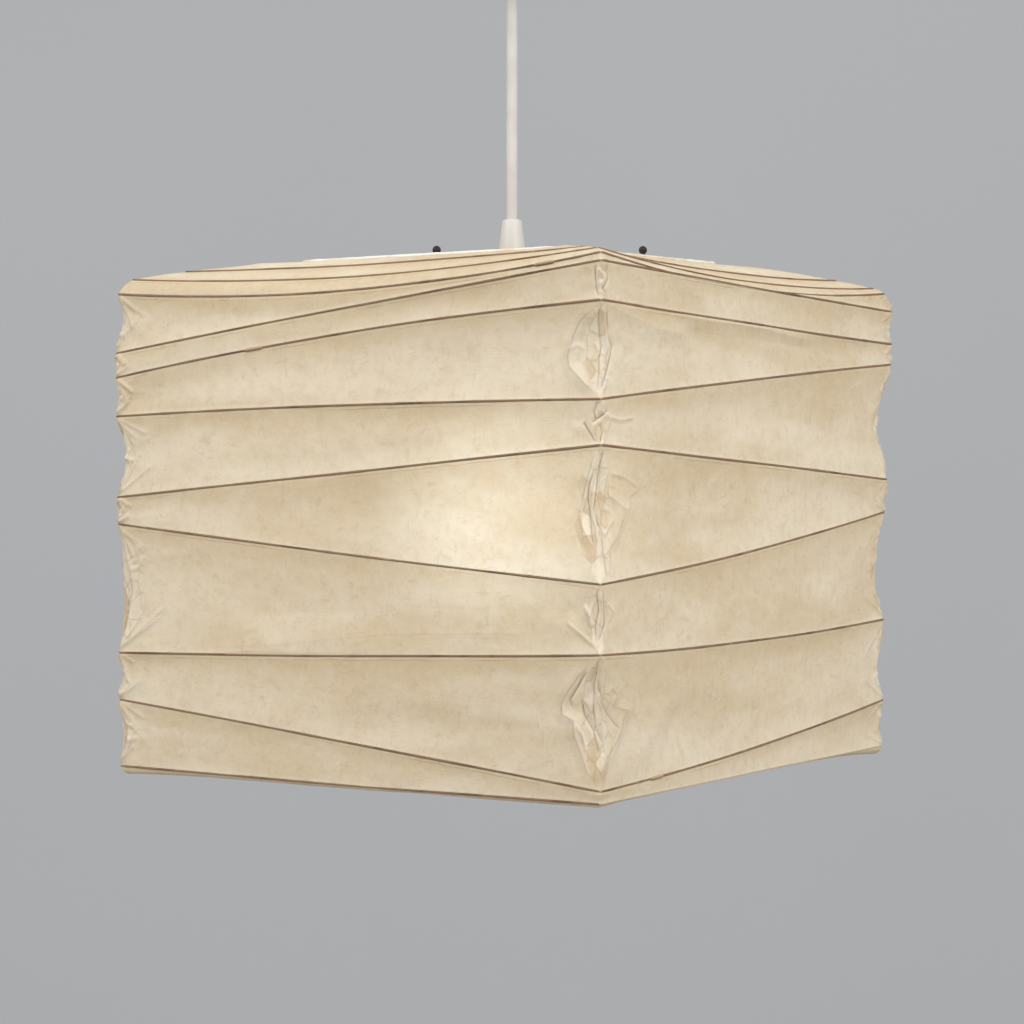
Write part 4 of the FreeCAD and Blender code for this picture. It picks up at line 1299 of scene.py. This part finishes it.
SKIRT_SHOULDER = 0.006
SKIRT_STEP = 0.0014
SKIRT_WALL = 0.0016
SKIRT_PITCH = 0.003
SKIRT_TURNS = 8
SKIRT_THREAD_FOOT = 0.002               # above the skirt's foot
SKIRT_THREAD_DEPTH = 0.0007
skirt_low, skirt_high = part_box("holder_skirt")
skirt_radius = skirt_high[0]
thread_radius = skirt_radius - SKIRT_STEP
shoulder_foot = skirt_high[2] - SKIRT_SHOULDER
sleeve_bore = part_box("screw_sleeve")[1][0] + FIT
skirt_bore = thread_radius - SKIRT_WALL
skirt_root = thread_radius - SKIRT_THREAD_DEPTH
skirt = turned("holder_skirt_moulding", [
    (skirt_bore, skirt_high[2]), (skirt_radius, skirt_high[2]), (skirt_radius, shoulder_foot),
    (skirt_root, shoulder_foot), (skirt_root, skirt_low[2]), (sleeve_bore, skirt_low[2]),
    (sleeve_bore, skirt_low[2] + SKIRT_WALL), (skirt_bore, skirt_low[2] + SKIRT_WALL),
])
soften(skirt, 0.0003)
skirt_thread = thread("skirt_thread", skirt_root, thread_radius, skirt_low[2] + SKIRT_THREAD_FOOT,
                      SKIRT_PITCH, SKIRT_TURNS)
skirt = join_to(skirt, skirt_thread, 45.0)
dress(skirt, "holder_skirt", "pendant")

# %% [markdown]
# ## The bulb
# A white globe bulb glows inside. Its glass is opal, so the whole globe is evenly bright, and a little
# dimmer at the neck where the glass runs into the screw shell. The glass starts as a sphere, and the part
# near its upper pole is drawn out into the neck. The shell is pressed from thin sheet, with a round thread.

# %% Draw out the glass
NECK_RADII = (0.0131, 0.0160, 0.0285)   # at the shell, below it, and where the neck runs into the globe
NECK_LEVELS = (0.0, -0.008, -0.019)     # below the foot of the shell
glass_low, glass_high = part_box("bulb_glass")
globe_radius = glass_high[0]
globe_level = glass_low[2] + globe_radius
begin()
bpy.ops.mesh.primitive_uv_sphere_add(segments=96, ring_count=64, radius=globe_radius,
                                     location=(0, 0, globe_level))
glass = bpy.context.object
glass.name = "bulb_globe"
bpy.ops.object.transform_apply(location=True, rotation=True, scale=True)
neck_foot = glass_high[2] + NECK_LEVELS[-1]
tip_angle = math.acos((neck_foot - globe_level) / globe_radius)
for vertex in glass.data.vertices:
    x, y, z = vertex.co
    reach = math.hypot(x, y)
    angle = math.atan2(reach, z - globe_level)
    if angle < tip_angle:
        share = angle / tip_angle * 3
        radius = float(np.interp(share, (0, 1, 2, 3), (0.0, *NECK_RADII)))
        level = float(np.interp(share, (0, 1, 2, 3), (0.0, *NECK_LEVELS)))
        grow = radius / reach if reach > 1e-9 else 1.0
        vertex.co = (x * grow, y * grow, glass_high[2] + level)
shade_smooth(60.0)

# %% Press the shell
SHELL_WALL = 0.0005
SHELL_PITCH = 0.0036
SHELL_TURNS = 4
SHELL_ROOT = 0.0121
SHELL_HOLE = 0.0040
SHELL_SHOULDER = (0.001, 0.002)         # how far it comes in, and its height
SHELL_LIP = (0.0020, 0.0028, 0.0030)    # above the foot: its top, where the drum starts outside, and inside
SHELL_THREAD_FOOT = 0.0026
shell_low, shell_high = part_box("bulb_shell")
shell_radius = shell_high[0]
shell_foot, shell_top = shell_low[2], shell_high[2]
lip_top, drum_foot, inner_foot = [shell_foot + level for level in SHELL_LIP]
drum_top = shell_top - SHELL_SHOULDER[1]
shell = turned("bulb_screw_shell", [
    (SHELL_HOLE, shell_top), (SHELL_ROOT - SHELL_SHOULDER[0], shell_top), (SHELL_ROOT, drum_top),
    (SHELL_ROOT, drum_foot), (shell_radius, lip_top), (shell_radius, shell_foot),
    (shell_radius - SHELL_WALL, shell_foot), (SHELL_ROOT - SHELL_WALL, inner_foot),
    (SHELL_ROOT - SHELL_WALL, drum_top), (SHELL_HOLE, shell_top - SHELL_WALL),
])
soften(shell, 0.0002)
shell_thread = thread("shell_thread", SHELL_ROOT, shell_radius, shell_foot + SHELL_THREAD_FOOT,
                      SHELL_PITCH, SHELL_TURNS)
shell = join_to(shell, shell_thread, 45.0)
dress(shell, "bulb_shell", "bulb")

# %% Make the glowing glass
BULB_GLOW = 6.9
NECK_DIMMING = 0.03     # over this height the glow falls to a quarter


def make_bulb_glass():
    material, tree, shader = new_finish("opal_glass", roughness=0.2)
    place = on_object(tree)
    cloud = mottle(tree, place, 30.0, detail=3.0)
    colour = mix(tree, step(tree, cloud, 0.3, 0.7), tone(244, 238, 226), tone(250, 247, 240))
    put(tree, shader, "Base Color", colour)
    height = add_node(tree, "ShaderNodeSeparateXYZ", Vector=place).outputs[2]
    neck = glass_high[2]
    put(tree, shader, "Emission Color", mix(tree, cloud, tone(230, 242, 255), tone(236, 246, 255)))
    glow = step(tree, height, neck - NECK_DIMMING, neck, BULB_GLOW, BULB_GLOW / 4)
    put(tree, shader, "Emission Strength", glow)
    return material


finishes["bulb_glass"] = make_bulb_glass()
dress(glass, "bulb_glass", "bulb")
print("glow", BULB_GLOW)

# %% Finish the carried-over solids
for node, piece in frame["nodes"].items():
    piece.data.materials.clear()
    piece.data.materials.append(finishes[slot_of[node]])
print("solids finished", len(slot_of))

# %% [markdown]
# ## Floor, backdrop and light
# The lamp hangs in front of a plain pale sweep: a floor that curves up into a wall, so no line crosses the
# picture. Two large soft lamps and a grey world light it evenly.

# %% Build the sweep
SWEEP_FLOOR = -2.2
SWEEP_BACK = 2.4
SWEEP_TOP = 3.0
SWEEP_WIDE = 9.0
SWEEP_ROUND = 0.9
begin()
bpy.ops.mesh.primitive_plane_add(size=SWEEP_WIDE, location=(0, 0, SWEEP_FLOOR), rotation=(0, 0, CAMERA_TURN))
sweep = bpy.context.object
sweep.name = "studio_sweep"
bpy.ops.object.transform_apply(location=True, rotation=True, scale=True)
back = np.array([-math.sin(CAMERA_TURN), math.cos(CAMERA_TURN), 0])
behind = [bool(np.dot(vertex.co, back) > 0) for vertex in sweep.data.vertices]
for vertex, at_back in zip(sweep.data.vertices, behind):
    vertex.select = at_back
    if at_back:
        vertex.co = np.array(vertex.co) + back * (SWEEP_BACK - SWEEP_WIDE / 2)
for edge in sweep.data.edges:
    edge.select = all(behind[v] for v in edge.vertices)
for face in sweep.data.polygons:
    face.select = False
bpy.ops.object.mode_set(mode="EDIT")
bpy.ops.mesh.select_mode(type="EDGE")
bpy.ops.mesh.extrude_edges_move(TRANSFORM_OT_translate={"value": (0, 0, SWEEP_TOP - SWEEP_FLOOR)})
bpy.ops.object.mode_set(mode="OBJECT")
soften(sweep, SWEEP_ROUND, segments=12)


def make_sweep_finish():
    material, tree, shader = new_finish("studio_sweep", roughness=0.9)
    cloud = mottle(tree, on_object(tree), 1.2, detail=2.0)
    put(tree, shader, "Base Color", mix(tree, cloud, tone(198, 199, 201), tone(203, 204, 206)))
    return material


sweep.data.materials.append(make_sweep_finish())
print("sweep faces", len(sweep.data.polygons))

# %% Light it
WORLD_LIGHT = 0.62


def soft_lamp(name, spot, aim, size, power):
    begin()
    bpy.ops.object.light_add(type="AREA", location=spot)
    lamp = bpy.context.object
    lamp.name = name
    lamp.data.shape = "DISK"
    lamp.data.size = size
    lamp.data.energy = power
    way = np.array(aim) - np.array(spot)
    tilt = math.acos(-way[2] / np.linalg.norm(way))
    lamp.rotation_euler = (tilt, 0, math.atan2(way[1], way[0]) - math.pi / 2)


LAMP_MIDDLE = (0, 0, -0.34)
soft_lamp("key_light", (-0.55, -1.5, 0.95), LAMP_MIDDLE, 1.2, 16.0)
soft_lamp("fill_light", (1.6, -0.4, 0.80), LAMP_MIDDLE, 1.3, 18.0)
world = bpy.data.worlds.new("studio_world")
bpy.context.scene.world = world
world.use_nodes = True
world.node_tree.nodes["Background"].inputs[0].default_value = (1.0, 1.0, 1.0, 1.0)
world.node_tree.nodes["Background"].inputs[1].default_value = WORLD_LIGHT
bpy.context.scene.view_settings.view_transform = "Standard"
